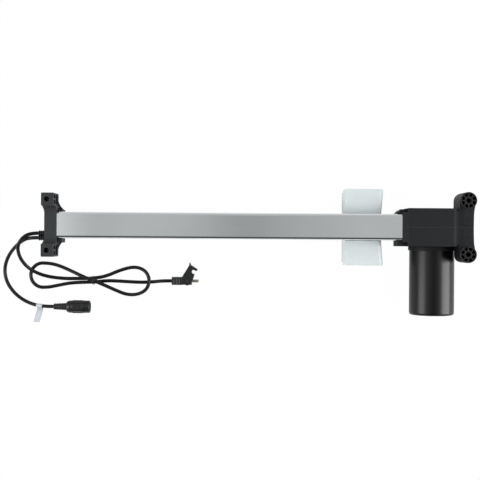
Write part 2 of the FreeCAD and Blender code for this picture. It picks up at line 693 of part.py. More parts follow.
def make_worm():
    """Single-start worm with its thread in the wheel's tooth gap at rest, bored for the shaft."""
    slope = math.tan(math.radians(PRESSURE_ANGLE))
    thick = (WORM_PITCH - GEAR_BACKLASH) / 4
    tip = WORM_RADIUS + ADDENDUM
    root = WORM_RADIUS - DEDENDUM
    base = root - 0.2
    turns = math.ceil(WORM_LENGTH / WORM_PITCH) + 2
    helix = Part.makeHelix(WORM_PITCH, turns * WORM_PITCH, WORM_RADIUS)
    half_tip = thick - ADDENDUM * slope
    half_base = thick + (WORM_RADIUS - base) * slope
    profile = outline(V(base, 0, -half_base), V(tip, 0, -half_tip), V(tip, 0, half_tip),
                      V(base, 0, half_base))
    thread = Part.Wire(helix.Edges).makePipeShell([profile], True, True)
    quarter = 0.75
    middle = (turns // 2 + quarter) * WORM_PITCH
    ends = (V(0, 0, middle - WORM_LENGTH / 2), V(0, 0, middle + WORM_LENGTH / 2))
    worm = rod(root, *ends).fuse(thread.common(rod(tip + 1, *ends)))
    worm = worm.cut(rod(SHAFT_RADIUS, V(0, 0, 0), V(0, 0, 2 * middle)))
    worm.translate(V(0, 0, -middle))
    worm.rotate(V(0, 0, 0), X_AXIS, -90)
    worm.translate(on_motor(0))
    return worm


def make_rotor_shaft():
    """Motor shaft from the worm's tip bush to the can's bush."""
    return rod(SHAFT_RADIUS, on_motor(REAR_BUSH_Y + SHAFT_END_GAP),
               on_motor(TIP_BUSH_Y + BUSH_LENGTH - SHAFT_END_GAP))


def make_armature_core():
    """Laminated core with winding slots."""
    radius = MOTOR_RADIUS - CAN_WALL - MAGNET_THICKNESS - AIR_GAP
    core = tube(radius, SHAFT_RADIUS, on_motor(CORE_Y - CORE_LENGTH), on_motor(CORE_Y))
    slot = box(on_motor(CORE_Y - CORE_LENGTH, -CORE_SLOT_WIDTH / 2, radius - CORE_SLOT_DEPTH),
               on_motor(CORE_Y, CORE_SLOT_WIDTH / 2, radius + 1))
    slots = []
    for number in range(CORE_SLOTS):
        copy = slot.copy()
        copy.rotate(on_motor(0), Y_AXIS, number * 360 / CORE_SLOTS)
        slots.append(copy)
    return core.cut(slots)


def make_armature_windings():
    """The two wound heads that stand out of the core's ends."""
    radius = MOTOR_RADIUS - CAN_WALL - MAGNET_THICKNESS - AIR_GAP - WINDING_INSET
    heads = []
    for start in (CORE_Y, CORE_Y - CORE_LENGTH - WINDING_LENGTH):
        heads.append(tube(radius, SHAFT_RADIUS, on_motor(start), on_motor(start + WINDING_LENGTH)))
    return Part.makeCompound(heads)


def make_commutator():
    """Copper commutator next to the windings."""
    end = COMMUTATOR_Y - COMMUTATOR_LENGTH
    return tube(COMMUTATOR_RADIUS, SHAFT_RADIUS, on_motor(end), on_motor(COMMUTATOR_Y))


def make_bush(y):
    """Plain bush of the motor shaft."""
    inner = SHAFT_RADIUS + RUNNING_FIT
    return tube(inner + BUSH_WALL, inner, on_motor(y), on_motor(y + BUSH_LENGTH))


def make_motor_can():
    """Drawn steel can, open towards the gear case, with a seat for the rear bush."""
    outer = rod(MOTOR_RADIUS, on_motor(CAN_END_Y), on_motor(CAN_Y))
    rim = [e for e in outer.Edges if abs(e.BoundBox.YMax - CAN_END_Y) < 1e-3 and e.BoundBox.ZLength > 1]
    outer = outer.makeFillet(CAN_END_RADIUS, rim)
    hollow = rod(MOTOR_RADIUS - CAN_WALL, on_motor(CAN_END_Y + CAN_WALL), on_motor(CAN_Y + 1))
    bush = SHAFT_RADIUS + RUNNING_FIT + BUSH_WALL
    seat = tube(bush + 2, bush, on_motor(CAN_END_Y + CAN_WALL - 0.5),
                on_motor(CAN_END_Y + CAN_WALL + BUSH_LENGTH))
    return fused([outer.cut(hollow), seat])


def make_motor_magnets():
    """Two arc magnets against the can."""
    outer = MOTOR_RADIUS - CAN_WALL
    middle = CORE_Y - CORE_LENGTH / 2
    magnets = []
    for facing in (-90, 90):
        ring = Part.makeCylinder(outer, MAGNET_LENGTH, on_motor(middle - MAGNET_LENGTH / 2), Y_AXIS,
                                 MAGNET_ANGLE)
        arc = ring.cut(rod(outer - MAGNET_THICKNESS, on_motor(middle - MAGNET_LENGTH),
                           on_motor(middle + MAGNET_LENGTH)))
        arc.rotate(on_motor(0), Y_AXIS, facing - MAGNET_ANGLE / 2)
        magnets.append(arc)
    return Part.makeCompound(magnets)


def motor_screw_x():
    """Places of the two motor screws either side of the motor axis."""
    reach = WORM_RADIUS + ADDENDUM + CHAMBER_GAP + SCREW_HEAD_RADIUS + MOTOR_SCREW_WALL
    return (-reach, reach)


def make_motor_end_bell():
    """Moulded collar between case and can, flattened so that it clears the floor."""
    disc = rod(COLLAR_RADIUS, on_motor(CAN_Y), on_motor(COLLAR_Y))
    spigot = rod(MOTOR_RADIUS - CAN_WALL, on_motor(CAN_Y - COLLAR_SPIGOT), on_motor(CAN_Y))
    flat = box(on_motor(CAN_Y - 1, -COLLAR_RADIUS, -COLLAR_RADIUS - 5),
               on_motor(COLLAR_Y + 1, COLLAR_RADIUS, -MOTOR_RADIUS + 0.4))
    bush = SHAFT_RADIUS + RUNNING_FIT + BUSH_WALL
    bores = [flat, rod(bush, on_motor(CAN_Y - COLLAR_SPIGOT - 1), on_motor(COLLAR_Y + 1))]
    for x in motor_screw_x():
        bores.append(rod(SCREW_RADIUS + SCREW_FIT, on_motor(CAN_Y - COLLAR_SPIGOT, x),
                         on_motor(COLLAR_Y + 1, x)))
    return fused([disc, spigot]).cut(bores)


def make_brush_holder():
    """Plate behind the collar with two open boxes for the brushes."""
    back = CAN_Y - COLLAR_SPIGOT
    front = back - HOLDER_THICKNESS
    plate = tube(MOTOR_RADIUS - CAN_WALL, COMMUTATOR_RADIUS + 2, on_motor(front), on_motor(back))
    shapes = [plate]
    half = BRUSH_WIDTH / 2 + BRUSH_BOX_WALL
    for side in (-1, 1):
        near, far = side * (COMMUTATOR_RADIUS + 3), side * (COMMUTATOR_RADIUS + 1 + BRUSH_LENGTH)
        low = on_motor(front - BRUSH_THICKNESS - BRUSH_BOX_WALL, min(near, far), -half)
        high = on_motor(front, max(near, far), half)
        inside = box(on_motor(front - BRUSH_THICKNESS, side * COMMUTATOR_RADIUS if side > 0 else -40,
                              -BRUSH_WIDTH / 2 - SCREW_FIT),
                     on_motor(front, 40 if side > 0 else -COMMUTATOR_RADIUS, BRUSH_WIDTH / 2 + SCREW_FIT))
        shapes.append(box(low, high).cut(inside))
    return fused(shapes)


def make_carbon_brushes():
    """Two brushes on the commutator."""
    front = CAN_Y - COLLAR_SPIGOT - HOLDER_THICKNESS
    run = rod(COMMUTATOR_RADIUS + RUNNING_FIT, on_motor(front - 20), on_motor(front + 20))
    brushes = []
    for side in (-1, 1):
        near, far = side * (COMMUTATOR_RADIUS - 1.5), side * (COMMUTATOR_RADIUS + BRUSH_LENGTH)
        low = on_motor(front - BRUSH_THICKNESS, min(near, far), -BRUSH_WIDTH / 2)
        high = on_motor(front, max(near, far), BRUSH_WIDTH / 2)
        brushes.append(box(low, high).cut(run))
    return Part.makeCompound(brushes)


def boss_pockets(side):
    """Eight moulded pockets around a rear boss's hub, with spokes left between them."""
    middle = V(MOUNT_SPAN, side * REAR_HOLE_SPACING / 2, MOUNT_Z - BOSS_POCKET)
    top = middle + Z_AXIS * (BOSS_POCKET + 1)
    ring = tube(BOSS_RADIUS - BOSS_WALL, REAR_HOLE_RADIUS + BOSS_HUB_WALL, middle, top)
    for number in range(BOSS_SPOKES // 2):
        spoke = box(middle + V(-BOSS_RADIUS, -BOSS_SPOKE / 2, 0),
                    top + V(BOSS_RADIUS, BOSS_SPOKE / 2, 0))
        spoke.rotate(middle, Z_AXIS, number * 360 / BOSS_SPOKES)
        ring = ring.cut(spoke)
    return ring


def rear_bar():
    """Bar behind the case: a straight waist and a saddle, and two bosses that stand proud of it."""
    half = REAR_HOLE_SPACING / 2
    z = MOUNT_Z - BOSS_DEPTH
    left = CASE_X1 - 2
    waist = MOUNT_SPAN + BAR_WAIST
    shoulder_x = MOUNT_SPAN + BOSS_RADIUS * math.cos(BAR_SHOULDER)
    shoulder_y = half - BOSS_RADIUS * math.sin(BAR_SHOULDER)
    bend_y = shoulder_y - BAR_BEND
    step = shoulder_x - waist
    bend = (step ** 2 + BAR_BEND ** 2) / (2 * step)
    turn = math.asin(BAR_BEND / bend) / 2
    middle_x, middle_y = waist + bend * (1 - math.cos(turn)), bend_y + bend * math.sin(turn)
    flank = MOUNT_SPAN - BOSS_RADIUS
    inner = CASE_WIDTH / 2 - CASE_CORNER
    web = outline(V(left, -inner, z), V(flank, -inner, z), V(flank, -half, z), V(MOUNT_SPAN, -half, z),
                  V(shoulder_x, -shoulder_y, z), (V(middle_x, -middle_y, z), V(waist, -bend_y, z)),
                  V(waist, bend_y, z), (V(middle_x, middle_y, z), V(shoulder_x, shoulder_y, z)),
                  V(MOUNT_SPAN, half, z), V(flank, half, z), V(flank, inner, z), V(left, inner, z))
    bar = prism(web, Z_AXIS * (BOSS_DEPTH - BOSS_PROUD))
    chord = half - BOSS_RADIUS
    dip = BAR_SADDLE - BOSS_PROUD
    radius = (chord ** 2 + dip ** 2) / (2 * dip)
    over = MOUNT_Z - BAR_SADDLE + radius
    bar = bar.cut(rod(radius, V(left - 10, 0, over), V(MOUNT_SPAN + 40, 0, over)))
    shapes = [bar]
    for side in (-1, 1):
        foot = V(MOUNT_SPAN, side * half, z)
        shapes.append(rod(BOSS_RADIUS, foot, foot + Z_AXIS * BOSS_DEPTH))
    return shapes


def case_screw_places():
    """Where the case screws pass, as (x, z)."""
    front = RAIL_X1 + SCREW_RADIUS + 2.5
    rear = CASE_X1 - SCREW_RADIUS - 2.0
    low = CASE_FLOOR_GAP + SCREW_HEAD_RADIUS + 3.0
    high = wire_z() + WIRE_RADIUS + SCREW_RADIUS + 0.8
    return [(front, high), (front, low), (rear, high), (rear, low)]


def whole_case():
    """Both halves of the gear case in one piece, hollowed for the drive, the rail and the screws."""
    half = CASE_WIDTH / 2
    body = rounded_box(V(CASE_X0, -half, CASE_FLOOR_GAP), V(CASE_X1, half, CASE_FRONT_Z), CASE_CORNER, Y_AXIS)
    rims = [e for e in body.Edges if e.BoundBox.YLength < 1e-3 and abs(e.BoundBox.ZMin - CASE_FRONT_Z) < 0.1]
    body = body.makeFillet(CASE_EDGE, rims)
    neck_x = CASE_X0 - NECK_LENGTH
    wall = RAIL_FRONT_Z + NECK_START_WALL
    root = CASE_X0 + JAW_ROOT
    side = -NECK_WIDTH / 2
    brow = CASE_FRONT_Z - CASE_EDGE
    neck = prism(outline(V(neck_x, side, SPINDLE_Z), V(root, side, SPINDLE_Z), V(root, side, brow),
                         V(CASE_X0, side, brow), V(neck_x, side, wall)), Y_AXIS * NECK_WIDTH)
    inner = RAIL_WIDTH / 2 - RAIL_WALL
    z = SPINDLE_Z - JAW_HALF_DEPTH
    tip = RAIL_WIDTH / 2 + JAW_TIP_WALL
    upper = prism(outline(V(root, inner, z), V(JAW_X, inner, z), V(JAW_X, tip, z),
                          V(JAW_X + JAW_RAMP, tip + JAW_RAMP, z), V(CASE_X0 + JAW_ROOT / 2, half, z),
                          V(root, half, z)), Z_AXIS * 2 * JAW_HALF_DEPTH)
    lower = box(V(JAW_X, -half, z), V(root, -inner, z + 2 * JAW_HALF_DEPTH))
    body = fused([body, neck, upper, lower] + rear_bar())
    cuts = [rail_block(JAW_X - 5, RAIL_X1, RAIL_FIT),
            rod(SPINDLE_RADIUS + CHAMBER_GAP, on_spindle(RAIL_X1 - 1), on_spindle(HUB_X1)),
            rod(BEARING_RADIUS, on_spindle(FRONT_BEARING_X), on_spindle(HUB_X0)),
            rod(WHEEL_RADIUS + GEAR_MODULE + CHAMBER_GAP, on_spindle(HUB_X0), on_spindle(HUB_X1)),
            rod(BEARING_RADIUS, on_spindle(HUB_X1), on_spindle(SPINDLE_X1 + 0.8)),
            rod(WORM_RADIUS + ADDENDUM + CHAMBER_GAP, on_motor(-half), on_motor(TIP_BUSH_Y)),
            rod(SHAFT_RADIUS + RUNNING_FIT + BUSH_WALL, on_motor(0), on_motor(TIP_BUSH_Y + BUSH_LENGTH))]
    cuts.append(rod(COLLAR_RADIUS + RAIL_FIT, on_motor(CAN_END_Y), on_motor(COLLAR_Y)))
    over = CASE_FRONT_Z - BAR_GROOVE + BAR_GROOVE_RADIUS
    cuts.append(rod(BAR_GROOVE_RADIUS, V(CASE_X1, -half - 1, over), V(CASE_X1, half + 1, over)))
    wires = WIRE_COUNT * (2 * WIRE_RADIUS + 2 * WIRE_GAP)
    cuts.append(box(V(RAIL_X1 - 1, wire_y(0) - 2, wire_z() - WIRE_RADIUS - 0.5),
                    V(FRONT_BEARING_X, wire_y(0) + wires, wire_z() + WIRE_RADIUS + 0.5)))
    for side in (-1, 1):
        foot = V(MOUNT_SPAN, side * REAR_HOLE_SPACING / 2, MOUNT_Z - BOSS_DEPTH - 1)
        cuts.append(rod(REAR_HOLE_RADIUS, foot, foot + Z_AXIS * (BOSS_DEPTH + 5)))
        cuts.append(boss_pockets(side))
    for x, z in case_screw_places():
        cuts.append(rod(SCREW_RADIUS + SCREW_FIT, V(x, -CASE_SCREW_GRIP, z), V(x, half + 1, z)))
        seat = half - SCREW_SINK - SCREW_HEAD_HEIGHT
        cuts.append(rod(SCREW_HEAD_RADIUS + HEAD_FIT, V(x, seat, z), V(x, half + 1, z)))
    for x in motor_screw_x():
        seat = motor_screw_head_y() - SCREW_HEAD_HEIGHT
        cuts.append(rod(SCREW_HEAD_RADIUS + HEAD_FIT, on_motor(seat, x), on_motor(0, x)))
        cuts.append(rod(SCREW_RADIUS + SCREW_FIT, on_motor(-half, x), on_motor(0, x)))
    return body.cut(cuts + screw_seats(REAR_SCREW_X, REAR_SCREW_TOPS))


def motor_screw_head_y():
    """Height of the motor screws' heads inside the lower case half."""
    return COLLAR_Y + MOTOR_SCREW_GRIP + SCREW_HEAD_HEIGHT


def make_case_half(case, side):
    """One side of the case, cut along the spindle's plane."""
    far = side * MOUNT_SPAN
    half = box(V(0, min(0, far), -MOUNT_SPAN), V(2 * MOUNT_SPAN, max(0, far), MOUNT_SPAN))
    return case.common(half).removeSplitter()


def make_gear_case_screws():
    """Screws that close the case."""
    head = CASE_WIDTH / 2 - SCREW_SINK
    return Part.makeCompound([body_screw(V(x, head, z), V(x, -CASE_SCREW_GRIP, z))
                              for x, z in case_screw_places()])


def make_motor_screws():
    """Screws that hold the motor's collar to the lower case half."""
    head = motor_screw_head_y()
    return Part.makeCompound([body_screw(on_motor(head, x), on_motor(CAN_Y - COLLAR_SPIGOT, x))
                              for x in motor_screw_x()])


def nut_screw_x():
    """Places of the two screws between slider and nut."""
    middle = (SLIDER_X0 + SLIDER_X1) / 2
    return (middle - NUT_SCREW_SPACING / 2, middle + NUT_SCREW_SPACING / 2)


def slider_section(y, pulled_in):
    """The slider's section across y, with a rounded front edge towards the gear case."""
    x1 = SLIDER_X1 - pulled_in
    bend = SLIDER_EDGE * (1 - math.sqrt(0.5))
    return outline(V(SLIDER_X0, y, 0), V(SLIDER_X0, y, SLIDER_FRONT_Z),
                   V(x1 - SLIDER_EDGE, y, SLIDER_FRONT_Z),
                   (V(x1 - bend, y, SLIDER_FRONT_Z - bend), V(x1, y, SLIDER_FRONT_Z - SLIDER_EDGE)),
                   V(x1, y, 0))


def make_slider_block():
    """White block behind the rail: two wings with trunnion bores, a channel for the rail, cored out."""
    half = SLIDER_WIDTH / 2
    side = RAIL_WIDTH / 2 + SLIDER_FIT
    block = fused([Part.makeLoft([slider_section(-half, 0), slider_section(-side, SLIDER_SLANT)], True, True),
                   Part.makeLoft([slider_section(-side, SLIDER_SLANT), slider_section(side, SLIDER_SLANT)],
                                 True, True),
                   Part.makeLoft([slider_section(side, SLIDER_SLANT), slider_section(half, 0)], True, True)])
    upright = [e for e in block.Edges
               if e.BoundBox.ZLength > SLIDER_FRONT_Z / 2 and abs(abs(e.BoundBox.Center.y) - half) < 1e-3]
    block = block.makeFillet(SLIDER_CORNER, upright)
    cuts = [box(V(SLIDER_X0 - 5, -side, CHANNEL_Z), V(SLIDER_X1 + 5, side, SLIDER_FRONT_Z + 5))]
    bore_z = SLIDER_FRONT_Z / 2
    middle = (SLIDER_X0 + SLIDER_X1) / 2
    for sign in (-1, 1):
        cuts.append(rod(TRUNNION_RADIUS, V(middle, sign * (half - TRUNNION_DEPTH), bore_z),
                        V(middle, sign * (half + 5), bore_z)))
    cells = ((SLIDER_X0 + SLIDER_WALL, middle - SLIDER_WALL), (middle + SLIDER_WALL, SLIDER_X1 - SLIDER_WALL))
    for x0, x1 in cells:
        for sign in (-1, 1):
            near = sign * (half - SLIDER_REBATE - SLIDER_WALL)
            far = sign * (SCREW_HEAD_RADIUS + SLIDER_WALL)
            top = bore_z - TRUNNION_RADIUS - SLIDER_WALL / 2
            cuts.append(box(V(x0, min(near, far), -1), V(x1, max(near, far), top)))
    for sign in (-1, 1):
        near, far = sign * (half - SLIDER_REBATE), sign * (half + 1)
        cuts.append(box(V(SLIDER_X0 - 1, min(near, far), -1),
                        V(SLIDER_X1 + 1, max(near, far), SLIDER_REBATE_HEIGHT)))
    for x in nut_screw_x():
        cuts.append(rod(SCREW_HEAD_RADIUS + HEAD_FIT, V(x, 0, -1), V(x, 0, SLIDER_POCKET_DEPTH)))
        cuts.append(rod(SCREW_RADIUS + SCREW_FIT, V(x, 0, 0), V(x, 0, CHANNEL_Z + 1)))
    return block.cut(cuts).removeSplitter()


def make_drive_nut():
    """Nut inside the rail, standing on the slider through the slot."""
    middle = (SLIDER_X0 + SLIDER_X1) / 2
    x0, x1 = middle - NUT_LENGTH / 2, middle + NUT_LENGTH / 2
    half = RAIL_WIDTH / 2 - RAIL_WALL - SLIDER_FIT
    neck = RAIL_SLOT / 2 - SLIDER_FIT
    lip = RAIL_BACK_Z + RAIL_WALL + RAIL_LIP + SLIDER_FIT
    body = rounded_box(V(x0, -half, lip), V(x1, half, SPINDLE_Z + NUT_ABOVE_AXIS), NUT_CORNER, X_AXIS)
    foot = box(V(x0, -neck, CHANNEL_Z), V(x1, neck, lip + 1))
    cuts = [rod(SPINDLE_RADIUS + RUNNING_FIT, on_spindle(x0 - 1), on_spindle(x1 + 1))]
    for x in nut_screw_x():
        cuts.append(rod(SCREW_RADIUS + SCREW_FIT, V(x, 0, CHANNEL_Z - 1), V(x, 0, nut_screw_tip() + 0.1)))
    return fused([body, foot]).cut(cuts)


def nut_screw_tip():
    """Top of the slider screws, just short of the spindle."""
    return SPINDLE_Z - SPINDLE_RADIUS - NUT_SCREW_GAP


def make_slider_screws():
    """Screws from the slider's back into the nut."""
    head = SLIDER_POCKET_DEPTH - SCREW_HEAD_HEIGHT
    return Part.makeCompound([body_screw(V(x, 0, head), V(x, 0, nut_screw_tip())) for x in nut_screw_x()])


def wire_y(number):
    """Place of an inner wire across the rail."""
    return WIRE_OFFSET + number * (2 * WIRE_RADIUS + WIRE_GAP)


def wire_z():
    """Height of the inner wires, against the rail's front wall."""
    return RAIL_FRONT_Z - RAIL_WALL - WIRE_RADIUS


def make_inner_wires():
    """Wires along the rail between front bracket and gear case, clear of the nut."""
    return Part.makeCompound([rod(WIRE_RADIUS, V(RAIL_X0, wire_y(n), wire_z()),
                                  V(FRONT_BEARING_X - 1, wire_y(n), wire_z())) for n in range(WIRE_COUNT)])


def make_limit_switches():
    """End-of-travel switches on the rail's front wall, one at each end, with their buttons."""
    top = RAIL_FRONT_Z - RAIL_WALL
    middle = (SLIDER_X0 + SLIDER_X1) / 2
    front_button = middle - STROKE - NUT_LENGTH / 2 + SWITCH_BUTTON
    rear_button = middle + NUT_LENGTH / 2 - SWITCH_BUTTON
    switches = []
    for x in (front_button - SWITCH_LENGTH / 2, rear_button - SWITCH_LENGTH / 2):
        body = box(V(x, -SWITCH_WIDTH, top - SWITCH_HEIGHT), V(x + SWITCH_LENGTH, 0, top))
        button = V(x + SWITCH_LENGTH / 2, -SWITCH_WIDTH / 2, top - SWITCH_HEIGHT - SWITCH_TRIP)
        cap = rod(SWITCH_BUTTON, button, button + Z_AXIS * SWITCH_HEIGHT)
        switches.append(fused([body, cap]))
    return Part.makeCompound(switches)


def make_cable_gland():
    """Ribbed rubber gland with one lobe for each cable."""
    radius = CABLE_DIAMETER / 2 + GLAND_WALL
    shapes = []
    for y in (SUPPLY_EXIT_Y, HANDSET_EXIT_Y):
        start = V(RAIL_X0 - GLAND_END_GAP, y, GLAND_RISE)
        shapes.append(rod(radius, V(CABLE_X, y, GLAND_RISE), start))
        pitch = GLAND_LENGTH / (GLAND_RIBS + 0.5)
        for rib in range(GLAND_RIBS):
            x = CABLE_X + pitch * rib
            shapes.append(rod(radius + GLAND_RIB, V(x, y, GLAND_RISE), V(x + pitch / 2, y, GLAND_RISE)))
    return fused(shapes)


def route_wire(points):
    """Straight runs joined by tangent arcs that are as large as the runs allow, and the arcs' radii."""
    share = 0.45
    edges = []
    radii = []
    here = points[0]
    for before, corner, after in zip(points, points[1:], points[2:]):
        arrive = (corner - before).normalize()
        leave = (after - corner).normalize()
        reach = share * min((corner - before).Length, (after - corner).Length)
        turn = arrive.getAngle(leave)
        radius = reach / math.tan(turn / 2)
        start, end = corner - arrive * reach, corner + leave * reach
        inward = (leave - arrive).normalize()
        middle = corner + inward * (radius / math.cos(turn / 2) - radius)
        edges.append(Part.LineSegment(here, start).toShape())
        edges.append(Part.Arc(start, middle, end).toShape())
        radii.append(radius)
        here = end
    edges.append(Part.LineSegment(here, points[-1]).toShape())
    return Part.Wire(edges), radii


def make_cable(name, points):
    """Round cable along a route; prints its length, its radii and how its volume compares."""
    path, radii = route_wire(points)
    ring = Part.Circle(points[0], points[1] - points[0], CABLE_DIAMETER / 2).toShape()
    cable = path.makePipeShell([Part.Wire(ring)], True, True)
    expected = math.pi * CABLE_DIAMETER ** 2 / 4 * path.Length
    print(name, "length", round(path.Length, 1), "smallest radii", [round(r, 1) for r in sorted(radii)[:6]],
          "volume share", round(cable.Volume / expected, 4))
    return cable


def on_socket(along, y=0.0, z=0.0):
    """Point given from the socket's cable end, on its axis."""
    return V(SOCKET_X + along, SOCKET_Y + y, SOCKET_Z + z)


def make_socket_relief():
    """Bend relief behind the socket, a tapered sleeve with rings cut in it."""
    wide = SOCKET_RELIEF_RADIUS + SOCKET_RELIEF_FLARE
    lead = SOCKET_RELIEF_LEAD
    sleeve = revolved([(0, 0), (0, SOCKET_RELIEF_RADIUS - lead), (lead, SOCKET_RELIEF_RADIUS),
                       (SOCKET_RELIEF_LENGTH, wide), (SOCKET_RELIEF_LENGTH, 0)], on_socket(0), X_AXIS)
    grooves = []
    pitch = SOCKET_RELIEF_LENGTH / (SOCKET_RELIEF_RINGS + 1)
    for number in range(SOCKET_RELIEF_RINGS):
        x = pitch * (number + 1)
        skin = SOCKET_RELIEF_RADIUS + SOCKET_RELIEF_FLARE * x / SOCKET_RELIEF_LENGTH
        grooves.append(tube(SOCKET_RADIUS, skin - SOCKET_RELIEF_GROOVE, on_socket(x - pitch / 5),
                            on_socket(x + pitch / 5)))
    return sleeve.cut(grooves)


def make_socket_shell():
    """Barrel-shaped shell of the inline socket, with grip panels, open at its end for the insert."""
    r, start, end = SOCKET_RADIUS, SOCKET_RELIEF_LENGTH, SOCKET_RELIEF_LENGTH + SOCKET_LENGTH
    rim = r - SOCKET_RIM_DROP

    def at(along, radius):
        return on_socket(along, 0, radius)

    profile = outline(at(start, 0), at(start, r - 3.2),
                      (at(start + 1.8, r - 1.4), at(start + 6.0, r - 0.5)),
                      at(start + 9.0, r), at(end - 10.0, r), at(end - 6.0, rim), at(end - 1.2, rim),
                      (at(end - 0.4, rim - 0.4), at(end, rim - 1.2)), at(end, 0))
    shell = Part.Face(profile).revolve(on_socket(0), X_AXIS, 360)
    cuts = [rod(rim - SOCKET_WALL, on_socket(end - SOCKET_INSERT_LENGTH), on_socket(end + 1))]
    panel = rounded_box(on_socket(start + 8.5, -SOCKET_PANEL_WIDTH / 2, r - SOCKET_PANEL_DEPTH),
                        on_socket(end - 9.0, SOCKET_PANEL_WIDTH / 2, r + 1), 1.5, Z_AXIS)
    for number in range(SOCKET_PANELS):
        copy = panel.copy()
        copy.rotate(on_socket(0), X_AXIS, number * 360 / SOCKET_PANELS)
        cuts.append(copy)
    return shell.cut(cuts)


def make_socket_insert():
    """Contact carrier set back inside the shell, with its contact holes and key slot."""
    end = SOCKET_RELIEF_LENGTH + SOCKET_LENGTH
    face = end - 1.5
    radius = SOCKET_RADIUS - SOCKET_RIM_DROP - SOCKET_WALL
    insert = rod(radius, on_socket(end - SOCKET_INSERT_LENGTH), on_socket(face))
    cuts = [box(on_socket(face - 8, -1.2, radius - 1.2), on_socket(face + 1, 1.2, radius + 1))]
    for number in range(SOCKET_CONTACTS):
        angle = math.pi * number / (SOCKET_CONTACTS - 1)
        y, z = SOCKET_CONTACT_CIRCLE * math.cos(angle), -SOCKET_CONTACT_CIRCLE * math.sin(angle) + 1.0
        cuts.append(rod(SOCKET_CONTACT_RADIUS, on_socket(face - 9, y, z), on_socket(face + 1, y, z)))
    return insert.cut(cuts)


def make_cable_tag():
    """Blank flag label folded round the short cable, drooping to the floor."""
    before, after = HANDSET_ROUTE[-3], HANDSET_ROUTE[-2]
    along = (after - before).normalize()
    centre = (before + after) / 2
    half = along * (TAG_WIDTH / 2)
    inner = CABLE_DIAMETER / 2 + TAG_FIT
    sleeve = tube(inner + TAG_THICKNESS, inner, centre - half, centre + half)
    side = V(along.y, -along.x, 0).normalize()
    level = V(along.x, along.y, 0).normalize()
    lean = (side - level * math.tan(math.radians(TAG_LEAN))).normalize()
    under = side.cross(along) * (inner + TAG_THICKNESS / 2)
    if under.z > 0:
        under = under * -1
    root = centre + under
    drop = root.z - abs(half.z) - TAG_FLAG_THICKNESS - TAG_REST_GAP
    slope = lean * math.sqrt(TAG_LENGTH ** 2 - drop ** 2) - Z_AXIS * drop
    thick = slope.cross(along).normalize() * (TAG_FLAG_THICKNESS / 2)
    flag = prism(outline(root - half - thick, root + half - thick, root + half + slope - thick,
                         root - half + slope - thick), thick * 2)
    return fused([sleeve, flag])


def hull_outline(centres, radius):
    """Closed band outline round a ring of circle centres in one plane across x, given anticlockwise."""
    steps = []
    count = len(centres)
    for number, centre in enumerate(centres):
        arrive = (centre - centres[number - 1]).normalize()
        leave = (centres[(number + 1) % count] - centre).normalize()
        first = V(0, arrive.z, -arrive.y)
        last = V(0, leave.z, -leave.y)
        middle = (first + last).normalize()
        steps += [centre + first * radius, (centre + middle * radius, centre + last * radius)]
    return outline(*steps)


def make_cable_tie():
    """Band round the three strands of the long cable: two below, one across them."""
    x = TIE_X - TIE_WIDTH / 2
    low, high = min(TIE_STRAND_Y), max(TIE_STRAND_Y)
    middle = (low + high) / 2
    centres = [V(x, low, TIE_LOW_Z), V(x, high, TIE_LOW_Z), V(x, middle + TIE_CROSSING, TIE_TOP_Z),
               V(x, middle - TIE_CROSSING, TIE_TOP_Z)]
    gap = CABLE_DIAMETER / 2 + TIE_FIT
    whole = prism(hull_outline(centres, gap + TIE_THICKNESS), X_AXIS * TIE_WIDTH)
    return whole.cut(prism(hull_outline(centres, gap), X_AXIS * TIE_WIDTH))


def on_plug(along, y=0.0, z=0.0):
    """Point given from the plug's cable end, on its axis."""
    return V(PLUG_X + along, PLUG_Y + y, PLUG_Z + z)


def latch_pivot():
    """Where the plug's locking clip turns."""
    return on_plug(PLUG_BODY_LENGTH + PLUG_NOSE_LENGTH - LATCH_PIVOT_INSET)


def make_plug_body():
    """Two-pin plug lying on its side: ribbed grip, then a narrower nose that carries the clip."""
    half_y, half_z, nose = PLUG_HEIGHT / 2, PLUG_WIDTH / 2, PLUG_NOSE_WIDTH / 2
    grip = rounded_box(on_plug(0, -half_y, -half_z), on_plug(PLUG_BODY_LENGTH, half_y, half_z), 1.6, X_AXIS)
    front = PLUG_BODY_LENGTH + PLUG_NOSE_LENGTH
    snout = rounded_box(on_plug(PLUG_BODY_LENGTH - 1, -half_y + 0.2, -nose),
                        on_plug(front, half_y - 0.2, nose), 1.0, X_AXIS)
    cuts = [rod(LATCH_PIN_RADIUS, latch_pivot() - Z_AXIS * PLUG_WIDTH, latch_pivot() + Z_AXIS * PLUG_WIDTH)]
    for side in (-1, 1):
        cuts.append(rod(PLUG_PIN_RADIUS, on_plug(front - PLUG_PIN_ROOT, 0, side * PLUG_PIN_SPACING / 2),
                        on_plug(front + 1, 0, side * PLUG_PIN_SPACING / 2)))
    return fused([grip, snout]).cut(cuts)


def make_plug_pins():
    """Two round contact pins with domed tips."""
    front = PLUG_BODY_LENGTH + PLUG_NOSE_LENGTH
    pins = []
    for side in (-1, 1):
        z = side * PLUG_PIN_SPACING / 2
        end = on_plug(front + PLUG_PIN_LENGTH, 0, z)
        pin = rod(PLUG_PIN_RADIUS, on_plug(front - PLUG_PIN_ROOT, 0, z), end)
        tip = [e for e in pin.Edges if abs(e.BoundBox.XMin - end.x) < 1e-3]
        pins.append(pin.makeFillet(PLUG_PIN_RADIUS * 0.6, tip))
    return Part.makeCompound(pins)


def latch_point(x, y, z):
    """Point given from the clip's pivot."""
    return latch_pivot() + V(x, y, z)


